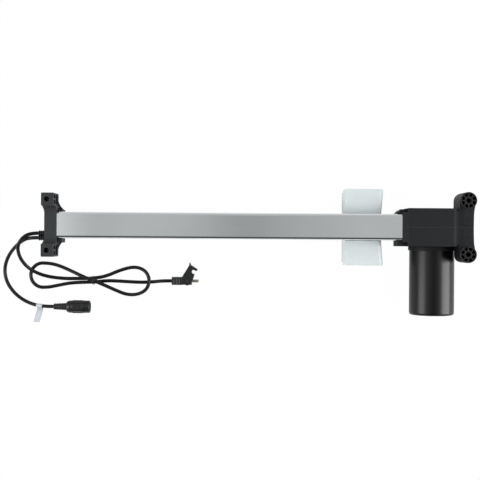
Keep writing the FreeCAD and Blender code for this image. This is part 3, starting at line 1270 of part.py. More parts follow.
def make_plug_latch():
    """Locking clip, swung up: two cheeks with a hook finger each, joined by a web and the upper hook."""
    nose = PLUG_NOSE_WIDTH / 2 + LATCH_SIDE_GAP
    full = nose + LATCH_CHEEK

    def side_outline(z):
        x, y = LATCH_SHOULDER
        mouth, lip = LATCH_MOUTH
        steps = [latch_point(*place, z) for place in LATCH_FRONT]
        steps.append((latch_point(*mouth, z), latch_point(*lip, z)))
        steps += [latch_point(*place, z) for place in (*LATCH_HOOK, LATCH_THUMB, *LATCH_BACK)]
        return outline(latch_point(-x, y, z), (latch_point(0, -LATCH_ROUND, z), latch_point(x, y, z)), *steps)

    cheeks = [prism(side_outline(low), Z_AXIS * LATCH_CHEEK) for low in (-full, nose)]
    end, start = (latch_point(*place, -full) for place in LATCH_BACK)
    along = (end - start).normalize()
    inward = V(along.y, -along.x, 0) * LATCH_WEB
    web = prism(outline(start, end, end + inward, start + inward), Z_AXIS * 2 * full)
    tip, bend, root = (latch_point(*place, -full) for place in LATCH_HOOK)
    hook = prism(outline(latch_point(*LATCH_HOOK_ROOT, -full), root, bend, tip), Z_AXIS * 2 * full)
    hole = rod(LATCH_PIN_RADIUS + RUNNING_FIT, latch_point(0, 0, -full - OVERCUT),
               latch_point(0, 0, full + OVERCUT))
    return fused(cheeks + [web, hook]).cut(hole)


def make_latch_pin():
    """Pin through the plug's nose that the clip turns on."""
    full = PLUG_NOSE_WIDTH / 2 + LATCH_SIDE_GAP + LATCH_CHEEK
    return rod(LATCH_PIN_RADIUS, latch_point(0, 0, -full), latch_point(0, 0, full))


def main():
    os.makedirs("parts", exist_ok=True)
    case = whole_case()
    nodes = {
        "rail": make_rail(),
        "front_bracket": make_front_bracket(),
        "front_bush": make_front_bush(),
        "front_rail_screws": rail_screws(FRONT_SCREW_X, FRONT_SCREW_TOPS),
        "rear_rail_screws": rail_screws(REAR_SCREW_X, REAR_SCREW_TOPS),
        "gear_case_upper": make_case_half(case, 1),
        "gear_case_lower": make_case_half(case, -1),
        "gear_case_screws": make_gear_case_screws(),
        "front_bearing_ring": make_bearing_ring(FRONT_BEARING_X),
        "rear_bearing_ring": make_bearing_ring(HUB_X1),
        "worm_tip_bush": make_bush(TIP_BUSH_Y),
        "motor_end_bell": make_motor_end_bell(),
        "motor_front_bush": make_bush(CAN_Y - COLLAR_SPIGOT + 1.0),
        "motor_screws": make_motor_screws(),
        "motor_can": make_motor_can(),
        "motor_magnets": make_motor_magnets(),
        "motor_rear_bush": make_bush(REAR_BUSH_Y),
        "brush_holder": make_brush_holder(),
        "carbon_brushes": make_carbon_brushes(),
        "limit_switches": make_limit_switches(),
        "inner_wires": make_inner_wires(),
        "cable_gland": make_cable_gland(),
        "handset_cable": make_cable("handset_cable", HANDSET_ROUTE),
        "supply_cable": make_cable("supply_cable", SUPPLY_ROUTE),
        "cable_tie": make_cable_tie(),
        "cable_tag": make_cable_tag(),
        "socket_relief": make_socket_relief(),
        "socket_shell": make_socket_shell(),
        "socket_insert": make_socket_insert(),
        "plug_body": make_plug_body(),
        "plug_pins": make_plug_pins(),
        "latch_pin": make_latch_pin(),
        "slider_block": make_slider_block(),
        "drive_nut": make_drive_nut(),
        "slider_screws": make_slider_screws(),
        "spindle": make_spindle(),
        "worm_wheel": make_worm_wheel(),
        "wheel_key": key_block(),
        "front_bearing_race": make_bearing_race(FRONT_BEARING_X),
        "rear_bearing_race": make_bearing_race(HUB_X1),
        "spindle_clip": make_spindle_clip(),
        "rotor_shaft": make_rotor_shaft(),
        "worm": make_worm(),
        "armature_core": make_armature_core(),
        "armature_windings": make_armature_windings(),
        "commutator": make_commutator(),
        "plug_latch": make_plug_latch(),
    }
    for name, shape in nodes.items():
        shape.translate(ROW_SHIFT)
        shape.exportStep(os.path.join("parts", name + ".step"))


main()
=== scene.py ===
# %% [markdown]
# # Dressing an electric linear actuator
# The frame holds the actuator as its maker would build it: rail, gear case, motor, slider and cables, each piece
# in place and in metres. This lesson gives those pieces their looks. Rigid pieces get softened edges and a finish,
# the cables become smooth curves, and small things such as threads and screw heads are added here. Sizes are
# written in millimetres and turned to metres with MM.

# %% Load the frame
import json
import math

import bmesh
import bpy
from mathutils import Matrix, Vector

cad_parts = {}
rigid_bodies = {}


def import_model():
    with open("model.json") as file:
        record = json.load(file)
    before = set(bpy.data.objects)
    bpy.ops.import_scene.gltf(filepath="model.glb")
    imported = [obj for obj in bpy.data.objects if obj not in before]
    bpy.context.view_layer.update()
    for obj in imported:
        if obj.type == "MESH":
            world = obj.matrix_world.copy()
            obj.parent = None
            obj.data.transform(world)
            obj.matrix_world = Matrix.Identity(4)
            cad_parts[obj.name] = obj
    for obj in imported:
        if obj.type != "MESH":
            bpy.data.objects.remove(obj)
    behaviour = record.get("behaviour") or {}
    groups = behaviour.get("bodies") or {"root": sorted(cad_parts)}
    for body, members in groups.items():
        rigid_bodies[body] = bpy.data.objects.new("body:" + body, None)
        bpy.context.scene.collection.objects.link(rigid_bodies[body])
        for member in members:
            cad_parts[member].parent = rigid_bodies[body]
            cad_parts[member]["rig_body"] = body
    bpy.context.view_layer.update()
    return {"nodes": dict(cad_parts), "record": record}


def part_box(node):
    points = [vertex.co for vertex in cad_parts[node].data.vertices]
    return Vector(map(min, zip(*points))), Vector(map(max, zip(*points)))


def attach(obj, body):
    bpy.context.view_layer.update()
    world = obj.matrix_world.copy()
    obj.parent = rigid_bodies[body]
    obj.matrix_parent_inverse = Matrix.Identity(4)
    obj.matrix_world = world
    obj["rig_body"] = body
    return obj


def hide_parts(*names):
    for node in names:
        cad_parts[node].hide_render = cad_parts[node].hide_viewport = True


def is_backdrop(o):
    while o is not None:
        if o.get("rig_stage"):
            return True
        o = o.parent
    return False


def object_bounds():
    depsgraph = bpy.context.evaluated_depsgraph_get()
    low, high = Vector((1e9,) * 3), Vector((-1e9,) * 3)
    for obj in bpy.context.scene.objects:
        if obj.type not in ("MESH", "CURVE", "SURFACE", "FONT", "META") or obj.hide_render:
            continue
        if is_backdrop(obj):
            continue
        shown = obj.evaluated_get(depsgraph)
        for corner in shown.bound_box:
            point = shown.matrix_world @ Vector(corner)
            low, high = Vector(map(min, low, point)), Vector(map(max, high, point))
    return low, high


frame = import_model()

MM = 0.001
mounts = {mount["name"]: mount for mount in frame["record"]["mounts"]}
print("pieces in the frame:", len(frame["nodes"]))

# %% [markdown]
# ## Places on the rail
# The maker measures along the rail from the line of the front mounting holes, across it from the spindle axis and
# up from the table. Every place could also be read off the finished model in metres, but then no number would mean
# anything on a drawing. The front mount of the record gives that corner, so the maker's numbers can be used here.

# %% A point given in millimetres along the rail
hole_line = Vector(mounts["front_lugs"]["pos_m"])


def rail_point(x, y, z):
    return Vector((hole_line.x + x * MM, hole_line.y + y * MM, z * MM))


rail_low, rail_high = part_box("rail")
print("rail runs from", round(rail_low.x, 4), "to", round(rail_high.x, 4))

# %% [markdown]
# ## The camera
# The photograph looks straight down on the actuator from a little over a metre. A 72 mm lens on a 36 mm sensor
# gives the same view, so that lugs and bosses show their sides just as much as they do there. The picture is
# turned by a fraction of a degree, because the rail slopes down a little to the right.

# %% Camera above the rail
CAMERA_X, CAMERA_Y, CAMERA_HEIGHT = 230.3, -16.7, 1215
CAMERA_ROLL = math.radians(0.4)
LENS, SENSOR = 71.9, 36.0


def placed(name, data):
    """A new object in the scene."""
    obj = bpy.data.objects.new(name, data)
    bpy.context.scene.collection.objects.link(obj)
    return obj


camera_data = bpy.data.cameras.new("camera")
camera_data.lens = LENS
camera_data.sensor_width = SENSOR
camera = placed("camera", camera_data)
camera.location = rail_point(CAMERA_X, CAMERA_Y, CAMERA_HEIGHT)
camera.rotation_euler = (0.0, 0.0, CAMERA_ROLL)
bpy.context.scene.camera = camera
print("camera", [round(value, 4) for value in camera.location])

# %% [markdown]
# ## Colours and nodes
# Colours are written as sRGB hex values, as a paint chart gives them, and turned to the linear values that
# Blender works with. Nodes could be added and linked line by line, but a tree reads more easily when each node is
# one line that names what feeds it, so one helper adds a node of any kind, sets it up and links it in one call.

# %% Small helpers for node trees


def colour(code):
    values = []
    for start in (1, 3, 5):
        share = int(code[start:start + 2], 16) / 255
        values.append(share / 12.92 if share <= 0.04045 else ((share + 0.055) / 1.055) ** 2.4)
    return (*values, 1.0)


def add(tree, kind, inputs=None, **settings):
    """Adds a node; an input is a value, or the output socket that feeds it."""
    node = tree.nodes.new(kind)
    for name, value in settings.items():
        setattr(node, name, value)
    for name, value in (inputs or {}).items():
        socket = node.inputs[name]
        if isinstance(value, bpy.types.NodeSocket):
            tree.links.new(value, socket)
        else:
            socket.default_value = value
    return node


def new_finish(name):
    material = bpy.data.materials.new(name)
    material.use_nodes = True
    material.node_tree.nodes.clear()
    return material, material.node_tree


print("a middle grey is linear", [round(value, 3) for value in colour("#808080")[:3]])

# %% [markdown]
# ## Moulded black plastics
# The gear case and the front bracket are glass-filled nylon, moulded in a spark-eroded tool. That leaves a dull
# skin with a fine grain and slow clouds where the glass lies differently. The edges are painted a little paler, as
# a painted highlight. The plugs and cables are smoother PVC. Holes and pockets are made duller, because no hand or
# tool polishes them, and darker as painted shade, so the shader asks how open the surface is within a few
# millimetres. Asked of the inside, the same question finds the edges. The real grain is about 0.3 mm and is drawn
# coarser, so that it still shows. A cable's sheath is drawn smooth through a die, so it only gets slow waves about
# 7 mm long.

# %% Nylon, PVC and rubber
# A texture's scale counts its patches in a metre, and a noise seldom leaves the span given here.
PER_METRE = 1000
NOISE_LOW, NOISE_HIGH = 0.3, 0.7
CLOUD = 26
# How far the shader looks round a point: hollows within this reach are painted darker as painted shade, and made
# duller.
HOLLOW_SHADE_REACH = 8.0
EDGE_REACH = 0.5
# The grey painted onto edges as a painted highlight, and how much of it shows there.
EDGE_HIGHLIGHT_TONE, EDGE_HIGHLIGHT_SHARE = "#6a6c6e", 0.3


def moulded_plastic(name, dark, light, roughness, grain_mm, depth_mm, gloss=0.4):
    material, tree = new_finish(name)
    spot = add(tree, "ShaderNodeTexCoord")
    cloud = add(tree, "ShaderNodeTexNoise", {"Vector": spot.outputs["Object"], "Scale": PER_METRE / CLOUD,
                                             "Detail": 3.0})
    tone = add(tree, "ShaderNodeMix", {0: cloud.outputs["Fac"], 6: colour(dark), 7: colour(light)},
               data_type="RGBA")
    inner = add(tree, "ShaderNodeAmbientOcclusion", {"Distance": EDGE_REACH * MM}, samples=4, inside=True,
                only_local=True)
    edge = add(tree, "ShaderNodeMapRange", {"Value": inner.outputs["AO"], "From Min": 0.95, "From Max": 0.55,
                                            "To Max": EDGE_HIGHLIGHT_SHARE})
    # Edges are painted a little paler: a painted highlight.
    painted_edge_highlight = add(tree, "ShaderNodeMix", {0: edge.outputs[0], 6: tone.outputs[2], 7: colour(EDGE_HIGHLIGHT_TONE)},
                 data_type="RGBA")
    # Painted shade: the colour is darkened by how closed in the surface is. The same occlusion also makes hollows
    # duller below.
    painted_shade_and_dull_hollows = add(tree, "ShaderNodeAmbientOcclusion", {"Color": painted_edge_highlight.outputs[2], "Distance": HOLLOW_SHADE_REACH * MM},
                 samples=8)
    grain = add(tree, "ShaderNodeTexNoise", {"Vector": spot.outputs["Object"], "Scale": PER_METRE / grain_mm,
                                             "Detail": 2.0})
    matt = add(tree, "ShaderNodeMapRange", {"Value": grain.outputs["Fac"], "From Min": NOISE_LOW,
                                            "From Max": NOISE_HIGH, "To Min": roughness - 0.05,
                                            "To Max": roughness + 0.07})
    dull = add(tree, "ShaderNodeMapRange", {"Value": painted_shade_and_dull_hollows.outputs["AO"], "From Min": 0.2, "From Max": 0.6,
                                            "To Min": 1.0, "To Max": matt.outputs[0]})
    bump = add(tree, "ShaderNodeBump", {"Height": grain.outputs["Fac"], "Distance": depth_mm * MM})
    skin = add(tree, "ShaderNodeBsdfPrincipled", {
        "Base Color": painted_shade_and_dull_hollows.outputs["Color"], "Roughness": dull.outputs[0], "Normal": bump.outputs[0],
        "IOR": 1.5, "Specular IOR Level": gloss})
    add(tree, "ShaderNodeOutputMaterial", {"Surface": skin.outputs[0]})
    return material


# Glass-filled nylon: a dull black with a fine grain, so that lamps show on it as wide faint patches.
case_nylon = moulded_plastic("nylon_gear_case", "#101113", "#161719", 0.58, 0.8, 0.04, 0.21)
bracket_nylon = moulded_plastic("nylon_front_bracket", "#28292b", "#303133", 0.6, 0.8, 0.04, 0.22)
# Soft PVC: deeper black and smoother, with small clear highlights along every round edge.
plug_pvc = moulded_plastic("pvc_plugs", "#0c0d0d", "#131414", 0.34, 1.2, 0.015, 0.4)
cable_pvc = moulded_plastic("pvc_cable_sheath", "#0d0d0d", "#121212", 0.28, 7.0, 0.003, 0.2)
# Rubber swallows most light. The switch housings are ABS, with a little more shine.
gland_rubber = moulded_plastic("rubber_gland", "#0d0d0e", "#141515", 0.55, 0.9, 0.04, 0.25)
switch_plastic = moulded_plastic("abs_switch", "#1c1c1f", "#242427", 0.4, 0.9, 0.03)
print("black plastics:", case_nylon.name, bracket_nylon.name, plug_pvc.name, cable_pvc.name)

# %% [markdown]
# ## Anodised rail
# The rail is an aluminium extrusion with a satin anodised skin. Die lines run along it, so the texture is pulled
# out a hundred times along x. The metal mirrors the room softly: the bright left end, the dark patch under the
# camera and the dark lower edge are all reflections, and none of them is painted on.

# %% Satin anodised aluminium
DIE_LINE, LINE_DEPTH, LINE_STRETCH, RAIL_CLOUD = 0.9, 0.001, 100, 60
rail_aluminium, tree = new_finish("aluminium_satin_anodised")
spot = add(tree, "ShaderNodeTexCoord")
pulled = add(tree, "ShaderNodeMapping", {"Vector": spot.outputs["Object"], "Scale": (1 / LINE_STRETCH, 1.0, 1.0)})
lines = add(tree, "ShaderNodeTexNoise", {"Vector": pulled.outputs[0], "Scale": PER_METRE / DIE_LINE, "Detail": 3.0})
cloud = add(tree, "ShaderNodeTexNoise", {"Vector": spot.outputs["Object"], "Scale": PER_METRE / RAIL_CLOUD,
                                         "Detail": 2.0})
tone = add(tree, "ShaderNodeMix", {0: cloud.outputs["Fac"], 6: colour("#d3d7d9"), 7: colour("#dee1e2")},
           data_type="RGBA")
satin = add(tree, "ShaderNodeMapRange", {"Value": lines.outputs["Fac"], "From Min": NOISE_LOW,
                                         "From Max": NOISE_HIGH, "To Min": 0.08, "To Max": 0.12})
scored = add(tree, "ShaderNodeBump", {"Height": lines.outputs["Fac"], "Distance": LINE_DEPTH * MM})
skin = add(tree, "ShaderNodeBsdfPrincipled", {
    "Base Color": tone.outputs[2], "Metallic": 1.0, "Roughness": satin.outputs[0], "Normal": scored.outputs[0]})
add(tree, "ShaderNodeOutputMaterial", {"Surface": skin.outputs[0]})
print("rail finish:", rail_aluminium.name)

# %% [markdown]
# ## Gloss black motor can
# The can is drawn from sheet steel and powder coated. The coat has flowed to a soft gloss with a faint orange peel,
# about 3 mm from crest to crest, and it shows each lamp as a soft upright streak. A clear coat over a black base
# would do as well, but one rough skin with a faint wave is enough for a coat that has no paint under it.

# %% Powder-coated steel
PEEL, PEEL_DEPTH = 3.0, 0.0012
can_coat, tree = new_finish("powder_coat_black")
spot = add(tree, "ShaderNodeTexCoord")
peel = add(tree, "ShaderNodeTexNoise", {"Vector": spot.outputs["Object"], "Scale": PER_METRE / PEEL,
                                        "Detail": 1.0})
flowed = add(tree, "ShaderNodeMapRange", {"Value": peel.outputs["Fac"], "From Min": NOISE_LOW,
                                          "From Max": NOISE_HIGH, "To Min": 0.285, "To Max": 0.315})
wavy = add(tree, "ShaderNodeBump", {"Height": peel.outputs["Fac"], "Distance": PEEL_DEPTH * MM})
skin = add(tree, "ShaderNodeBsdfPrincipled", {
    "Base Color": colour("#040405"), "Roughness": flowed.outputs[0], "Normal": wavy.outputs[0],
    "IOR": 1.5, "Specular IOR Level": 0.24})
add(tree, "ShaderNodeOutputMaterial", {"Surface": skin.outputs[0]})
print("can finish:", can_coat.name)

# %% [markdown]
# ## White slider and pale gears
# Slider, nut and worm wheel are natural acetal, a white plastic that lets a little light into its surface. It is
# moulded smooth, with faint flow marks. Subsurface scattering keeps its edges from looking like painted metal.

# %% Natural acetal
FLOW, FLOW_STRETCH = 14, 2.5
WAX_GRAIN, WAX_DEPTH = 1.2, 0.02
LIGHT_REACH = (4.0, 4.2, 4.5)


def natural_acetal(name, dark, light):
    material, tree = new_finish(name)
    spot = add(tree, "ShaderNodeTexCoord")
    drawn = add(tree, "ShaderNodeMapping", {"Vector": spot.outputs["Object"], "Scale": (1.0, 1 / FLOW_STRETCH, 1.0)})
    flow = add(tree, "ShaderNodeTexNoise", {"Vector": drawn.outputs[0], "Scale": PER_METRE / FLOW, "Detail": 3.0})
    tone = add(tree, "ShaderNodeMix", {0: flow.outputs["Fac"], 6: colour(dark), 7: colour(light)},
               data_type="RGBA")
    grain = add(tree, "ShaderNodeTexNoise", {"Vector": spot.outputs["Object"], "Scale": PER_METRE / WAX_GRAIN,
                                             "Detail": 2.0})
    matt = add(tree, "ShaderNodeMapRange", {"Value": grain.outputs["Fac"], "From Min": NOISE_LOW,
                                            "From Max": NOISE_HIGH, "To Min": 0.36, "To Max": 0.46})
    bump = add(tree, "ShaderNodeBump", {"Height": grain.outputs["Fac"], "Distance": WAX_DEPTH * MM})
    skin = add(tree, "ShaderNodeBsdfPrincipled", {
        "Base Color": tone.outputs[2], "Roughness": matt.outputs[0], "Normal": bump.outputs[0], "IOR": 1.48,
        "Subsurface Weight": 0.25, "Subsurface Radius": [reach * MM for reach in LIGHT_REACH],
        "Subsurface Scale": 0.6})
    add(tree, "ShaderNodeOutputMaterial", {"Surface": skin.outputs[0]})
    return material


# Acetal looks like hard wax: a cool white for the slider, a cream for the gears, each with a wide soft sheen.
slider_acetal = natural_acetal("acetal_natural_white", "#c5cdce", "#ccd3d4")
gear_acetal = natural_acetal("acetal_gear", "#d8cfae", "#e4dcbf")
print("acetal:", slider_acetal.name, gear_acetal.name)

# %% [markdown]
# ## Metals
# Screws are zinc plated, or blackened at the rail's ends, and keep the flat crystals of the plating. Bushes are
# sintered bronze, full of pores. The spindle is rolled bright steel. Cells of a Voronoi texture stand for crystals
# and pores, and only their size and depth differ. Copper windings and steel laminations are stacks of lines, so
# they read a wave texture instead.

# %% Plated and sintered metals


def grained_metal(name, dark, light, roughness, cell_mm, depth_mm):
    material, tree = new_finish(name)
    spot = add(tree, "ShaderNodeTexCoord")
    cells = add(tree, "ShaderNodeTexVoronoi", {"Vector": spot.outputs["Object"], "Scale": PER_METRE / cell_mm})
    tone = add(tree, "ShaderNodeMix", {0: cells.outputs["Distance"], 6: colour(light), 7: colour(dark)},
               data_type="RGBA")
    matt = add(tree, "ShaderNodeMapRange", {"Value": cells.outputs["Distance"], "To Min": roughness - 0.05,
                                            "To Max": roughness + 0.08})
    bump = add(tree, "ShaderNodeBump", {"Height": cells.outputs["Distance"], "Distance": depth_mm * MM})
    skin = add(tree, "ShaderNodeBsdfPrincipled", {
        "Base Color": tone.outputs[2], "Metallic": 1.0, "Roughness": matt.outputs[0], "Normal": bump.outputs[0]})
    add(tree, "ShaderNodeOutputMaterial", {"Surface": skin.outputs[0]})
    return material


# Zinc is pale with flat sparkling crystals, black oxide is the same surface gone dark, bronze is warm and porous,
# and nickel is a slightly yellow mirror.
zinc_plate = grained_metal("steel_zinc_plated", "#b4b7bb", "#cfd2d4", 0.32, 0.8, 0.008)
bright_steel = grained_metal("steel_bright_rolled", "#a9abae", "#bfc1c3", 0.26, 0.6, 0.006)
black_oxide = grained_metal("steel_black_oxide", "#1d1d1f", "#28282a", 0.42, 0.8, 0.008)
sintered_bronze = grained_metal("bronze_sintered", "#94703f", "#b98c54", 0.45, 0.5, 0.02)
nickel_plate = grained_metal("nickel_plated_brass", "#a3a094", "#b9b6ab", 0.25, 0.7, 0.005)
print("grained metals:", zinc_plate.name, bright_steel.name, black_oxide.name, sintered_bronze.name)

# %% Wound copper and stacked steel
# A wave texture at scale 1 repeats every 314 mm.
WAVE_LENGTH, LAYER_DEPTH = 314, 0.1


def layered_metal(name, dark, light, roughness, layer_mm, axis):
    material, tree = new_finish(name)
    spot = add(tree, "ShaderNodeTexCoord")
    layers = add(tree, "ShaderNodeTexWave", {"Vector": spot.outputs["Object"], "Scale": WAVE_LENGTH / layer_mm,
                                             "Distortion": 0.6, "Detail": 1.0}, bands_direction=axis)
    tone = add(tree, "ShaderNodeMix", {0: layers.outputs["Fac"], 6: colour(dark), 7: colour(light)},
               data_type="RGBA")
    bump = add(tree, "ShaderNodeBump", {"Height": layers.outputs["Fac"], "Distance": LAYER_DEPTH * MM})
    skin = add(tree, "ShaderNodeBsdfPrincipled", {
        "Base Color": tone.outputs[2], "Metallic": 1.0, "Roughness": roughness, "Normal": bump.outputs[0]})
    add(tree, "ShaderNodeOutputMaterial", {"Surface": skin.outputs[0]})
    return material


# Wire and bars show as fine copper ridges, and the core as a stack of thin grey sheets.
winding_copper = layered_metal("copper_enamelled_wire", "#8a4524", "#bd6a3a", 0.32, 0.7, "Z")
bar_copper = layered_metal("copper_commutator_bars", "#9c5a38", "#c27c52", 0.3, 2.4, "X")
core_steel = layered_metal("steel_laminations", "#6f7174", "#8b8d90", 0.42, 0.6, "Y")
print("layered metals:", winding_copper.name, bar_copper.name, core_steel.name)

# %% [markdown]
# ## Inner plastics and ceramics, and the label
# Magnets are pressed ferrite, brushes are carbon, and the brush plate is phenolic board. All are dull and finely
# grained, as a moulding is, so the plastics' function makes them too with other colours. The label is a smooth film.

# %% Ferrite, carbon, phenolic board and film
# Ferrite and carbon are dry and sooty, phenolic board is brown, and the label is a cool white film with some shine.
ferrite = moulded_plastic("ferrite_magnet", "#222224", "#2b2b2d", 0.6, 0.7, 0.03)
carbon = moulded_plastic("carbon_brush", "#18181a", "#222223", 0.7, 0.5, 0.03)
phenolic = moulded_plastic("phenolic_brush_plate", "#5a3a26", "#6b4630", 0.5, 0.9, 0.03)
wire_red = moulded_plastic("pvc_wire_red", "#8d1f1b", "#a12823", 0.4, 1.5, 0.02)
tag_film = moulded_plastic("film_label", "#c9ccd6", "#d8dae3", 0.35, 3.0, 0.02)
print("finishes:", len(bpy.data.materials))

# %% [markdown]
# ## Finishes for the frame's own pieces
# Bearings, magnets and gears sit inside the case, where nobody sees them until it is opened. They could be dressed
# like the outside, but their own shapes are true already, so they keep their mesh and only get a finish. A table from
# piece to finish shows the whole part at a glance, and what it leaves out is zinc plated.

# %% Assign finishes by node
finish_of = {
    "rail": rail_aluminium, "front_bracket": bracket_nylon, "gear_case_upper": case_nylon,
    "gear_case_lower": case_nylon, "motor_end_bell": case_nylon, "motor_can": can_coat,
    "slider_block": slider_acetal, "drive_nut": slider_acetal, "spindle": bright_steel,
    "cable_gland": gland_rubber, "socket_relief": plug_pvc, "socket_shell": plug_pvc,
    "socket_insert": plug_pvc, "plug_body": plug_pvc, "plug_latch": plug_pvc, "plug_pins": nickel_plate,
    "latch_pin": plug_pvc, "cable_tag": tag_film, "cable_tie": cable_pvc,
    "front_bush": sintered_bronze, "worm_tip_bush": sintered_bronze, "motor_front_bush": sintered_bronze,
    "motor_rear_bush": sintered_bronze, "motor_magnets": ferrite, "carbon_brushes": carbon,
    "brush_holder": phenolic, "limit_switches": switch_plastic, "inner_wires": wire_red,
    "worm_wheel": gear_acetal, "armature_core": core_steel, "armature_windings": winding_copper,
    "commutator": bar_copper, "handset_cable": cable_pvc, "supply_cable": cable_pvc,
    "rotor_shaft": bright_steel, "worm": bright_steel,
}
for name, obj in frame["nodes"].items():
    obj.data.materials.clear()
    obj.data.materials.append(finish_of.get(name, zinc_plate))
print("finishes given to", len(frame["nodes"]), "pieces")

# %% [markdown]
# ## The two cables
# Both cables are 4.5 mm PVC leads. They leave the gland side by side, droop to the table and lie in the loose loops
# that the photograph shows. Runs and arcs would look like bent wire. A NURBS curve led by listed points bends
# the way a cable does, without corners, and its bevel gives the round sheath.

# %% Where the cables run
CABLE_DIAMETER, CLEAR, PASSING, END_LEAD = 4.5, 0.15, 0.4, 11.0
FLOOR = CABLE_DIAMETER / 2 + CLEAR
EXIT_X, EXIT_Z = -16.2, 40.0
HANDSET_EXIT_Y, SUPPLY_EXIT_Y = -15.6, -10.0
SOCKET = (-3.5, -102.0, 8.3)
PLUG = (144.9, -68.8, 6.3)
TIE_X, TIE_LOW, TIE_TOP = 46.0, 3.8, 8.6
OVER = FLOOR + CABLE_DIAMETER + PASSING
handset_route = [
    (EXIT_X, HANDSET_EXIT_Y, EXIT_Z), (EXIT_X - END_LEAD, HANDSET_EXIT_Y, EXIT_Z), (-37.5, -18.6, 32.0),
    (-49.5, -26.5, 20.5), (-61.0, -38.5, 9.0), (-67.4, -54.0, 3.0), (-65.0, -71.0, FLOOR),
    (-55.0, -85.5, FLOOR), (-42.5, -95.0, FLOOR), (-28.5, -100.5, 4.0),
    (SOCKET[0] - END_LEAD, SOCKET[1], SOCKET[2]), SOCKET,
]
supply_route = [
    (EXIT_X, SUPPLY_EXIT_Y, EXIT_Z), (EXIT_X - 9.5, SUPPLY_EXIT_Y, EXIT_Z), (-35.4, -14.8, 42.2),
    (-42.8, -25.2, 39.0), (-43.6, -37.6, 27.6), (-39.0, -49.5, 15.6), (-28.5, -58.6, OVER + 1.0),
    (-13.0, -64.5, 4.2), (7.5, -67.0, FLOOR), (26.5, -66.8, FLOOR + 0.4), (TIE_X, -66.3, TIE_LOW),
    (61.5, -63.6, FLOOR), (79.0, -55.8, FLOOR), (97.0, -51.0, FLOOR), (111.0, -55.5, FLOOR + 2.2),
    (117.2, -67.2, OVER), (113.6, -80.0, OVER), (101.5, -86.6, FLOOR + 2.0), (87.0, -86.8, FLOOR),
    (72.0, -80.4, FLOOR + 2.0), (55.0, -72.4, TIE_TOP), (34.0, -64.6, TIE_TOP), (14.0, -55.5, FLOOR + 1.5),
    (-1.0, -49.6, FLOOR), (-12.2, -47.6, FLOOR), (-24.9, -47.5, FLOOR), (-33.9, -56.4, FLOOR),
    (-33.8, -69.1, FLOOR), (-24.8, -78.1, FLOOR), (-12.1, -78.2, FLOOR), (1.0, -75.5, FLOOR),
    (14.0, -72.8, FLOOR), (27.5, -71.6, FLOOR + 0.4), (TIE_X, -71.1, TIE_LOW), (64.0, -69.0, FLOOR + 0.2),
    (86.0, -70.2, FLOOR), (106.0, -71.2, FLOOR), (121.5, -70.3, FLOOR + 0.4),
    (PLUG[0] - END_LEAD, PLUG[1], PLUG[2]), PLUG,
]
print("control points:", len(handset_route), "and", len(supply_route))

# %% Cable curves


def finished(obj, body, material):
    """Gives a new piece its finish and its place on a body."""
    obj.data.materials.clear()
    obj.data.materials.append(material)
    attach(obj, body)


def stands_for(obj, node, material):
    """Puts a new piece in place of a frame piece, on the same body."""
    finished(obj, frame["nodes"][node]["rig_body"], material)
    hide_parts(node)


def round_curve(name, points, radius_mm, around, along, closed=False):
    """A smooth curve led by the points, with a round sheath of so many steps around and along it."""
    curve = bpy.data.curves.new(name, "CURVE")
    curve.dimensions = "3D"
    curve.bevel_depth = radius_mm * MM
    curve.bevel_resolution = around
    curve.use_fill_caps = True
    curve.resolution_u = along
    spline = curve.splines.new("NURBS")
    spline.points.add(len(points) - 1)
    for point, place in zip(spline.points, points):
        point.co = (*place, 1.0)
    spline.order_u = 3
    spline.use_cyclic_u = closed
    spline.use_endpoint_u = not closed
    return placed(name, curve)


def cable(name, route, node):
    line = round_curve(name, [rail_point(*place) for place in route], CABLE_DIAMETER / 2, around=5, along=10)
    stands_for(line, node, cable_pvc)
    return line


handset_lead = cable("handset_lead", handset_route, "handset_cable")
supply_lead = cable("supply_lead", supply_route, "supply_cable")
print("cables:", handset_lead.name, supply_lead.name)

# %% [markdown]
# ## Softened edges
# A moulding never has knife edges: the tool leaves a radius of a few tenths of a millimetre, and that radius is what
# catches the light. The frame's pieces have sharp edges where no radius matters to the design. So each one that
# shows is copied, its loose triangles are merged to flat faces, and a narrow bevel goes round every sharp edge. The
# solids could have these radii themselves, but they would grow slow and heavy for an edge that only the eye needs.
# Where bevels meet, a few faces come out with no size and are taken away. Weighted normals keep large faces flat.

# %% Copies of frame pieces with a small edge radius
SHARP = math.radians(32)
FLAT = math.radians(2.5)
SAME_POINT = 0.001
EDGE_STEPS = 2
EDGE_RADIUS = {
    "rail": 0.15, "front_bracket": 0.2, "gear_case_upper": 0.2, "gear_case_lower": 0.2, "motor_end_bell": 0.4,
    "motor_can": 0.4, "slider_block": 0.3, "drive_nut": 0.2, "socket_shell": 0.2, "socket_relief": 0.25,
    "plug_body": 0.15, "plug_latch": 0.12, "cable_gland": 0.2, "plug_pins": 0.1, "socket_insert": 0.12,
    "latch_pin": 0.15,
}


def frozen(obj):
    """The evaluated mesh as plain data, with the modifiers taken off."""
    bpy.context.view_layer.update()
    result = bpy.data.meshes.new_from_object(obj.evaluated_get(bpy.context.evaluated_depsgraph_get()))
    obj.modifiers.clear()
    obj.data = result
    return obj


def merged(node):
    """A copy of a frame piece's shape with its loose triangles joined."""
    shape = bmesh.new()
    shape.from_mesh(frame["nodes"][node].data)
    bmesh.ops.remove_doubles(shape, verts=shape.verts, dist=SAME_POINT * MM)
    return shape


def as_mesh(shape, name):
    """Turns a shape under construction into mesh data."""
    data = bpy.data.meshes.new(name)
    shape.to_mesh(data)
    shape.free()
    return data


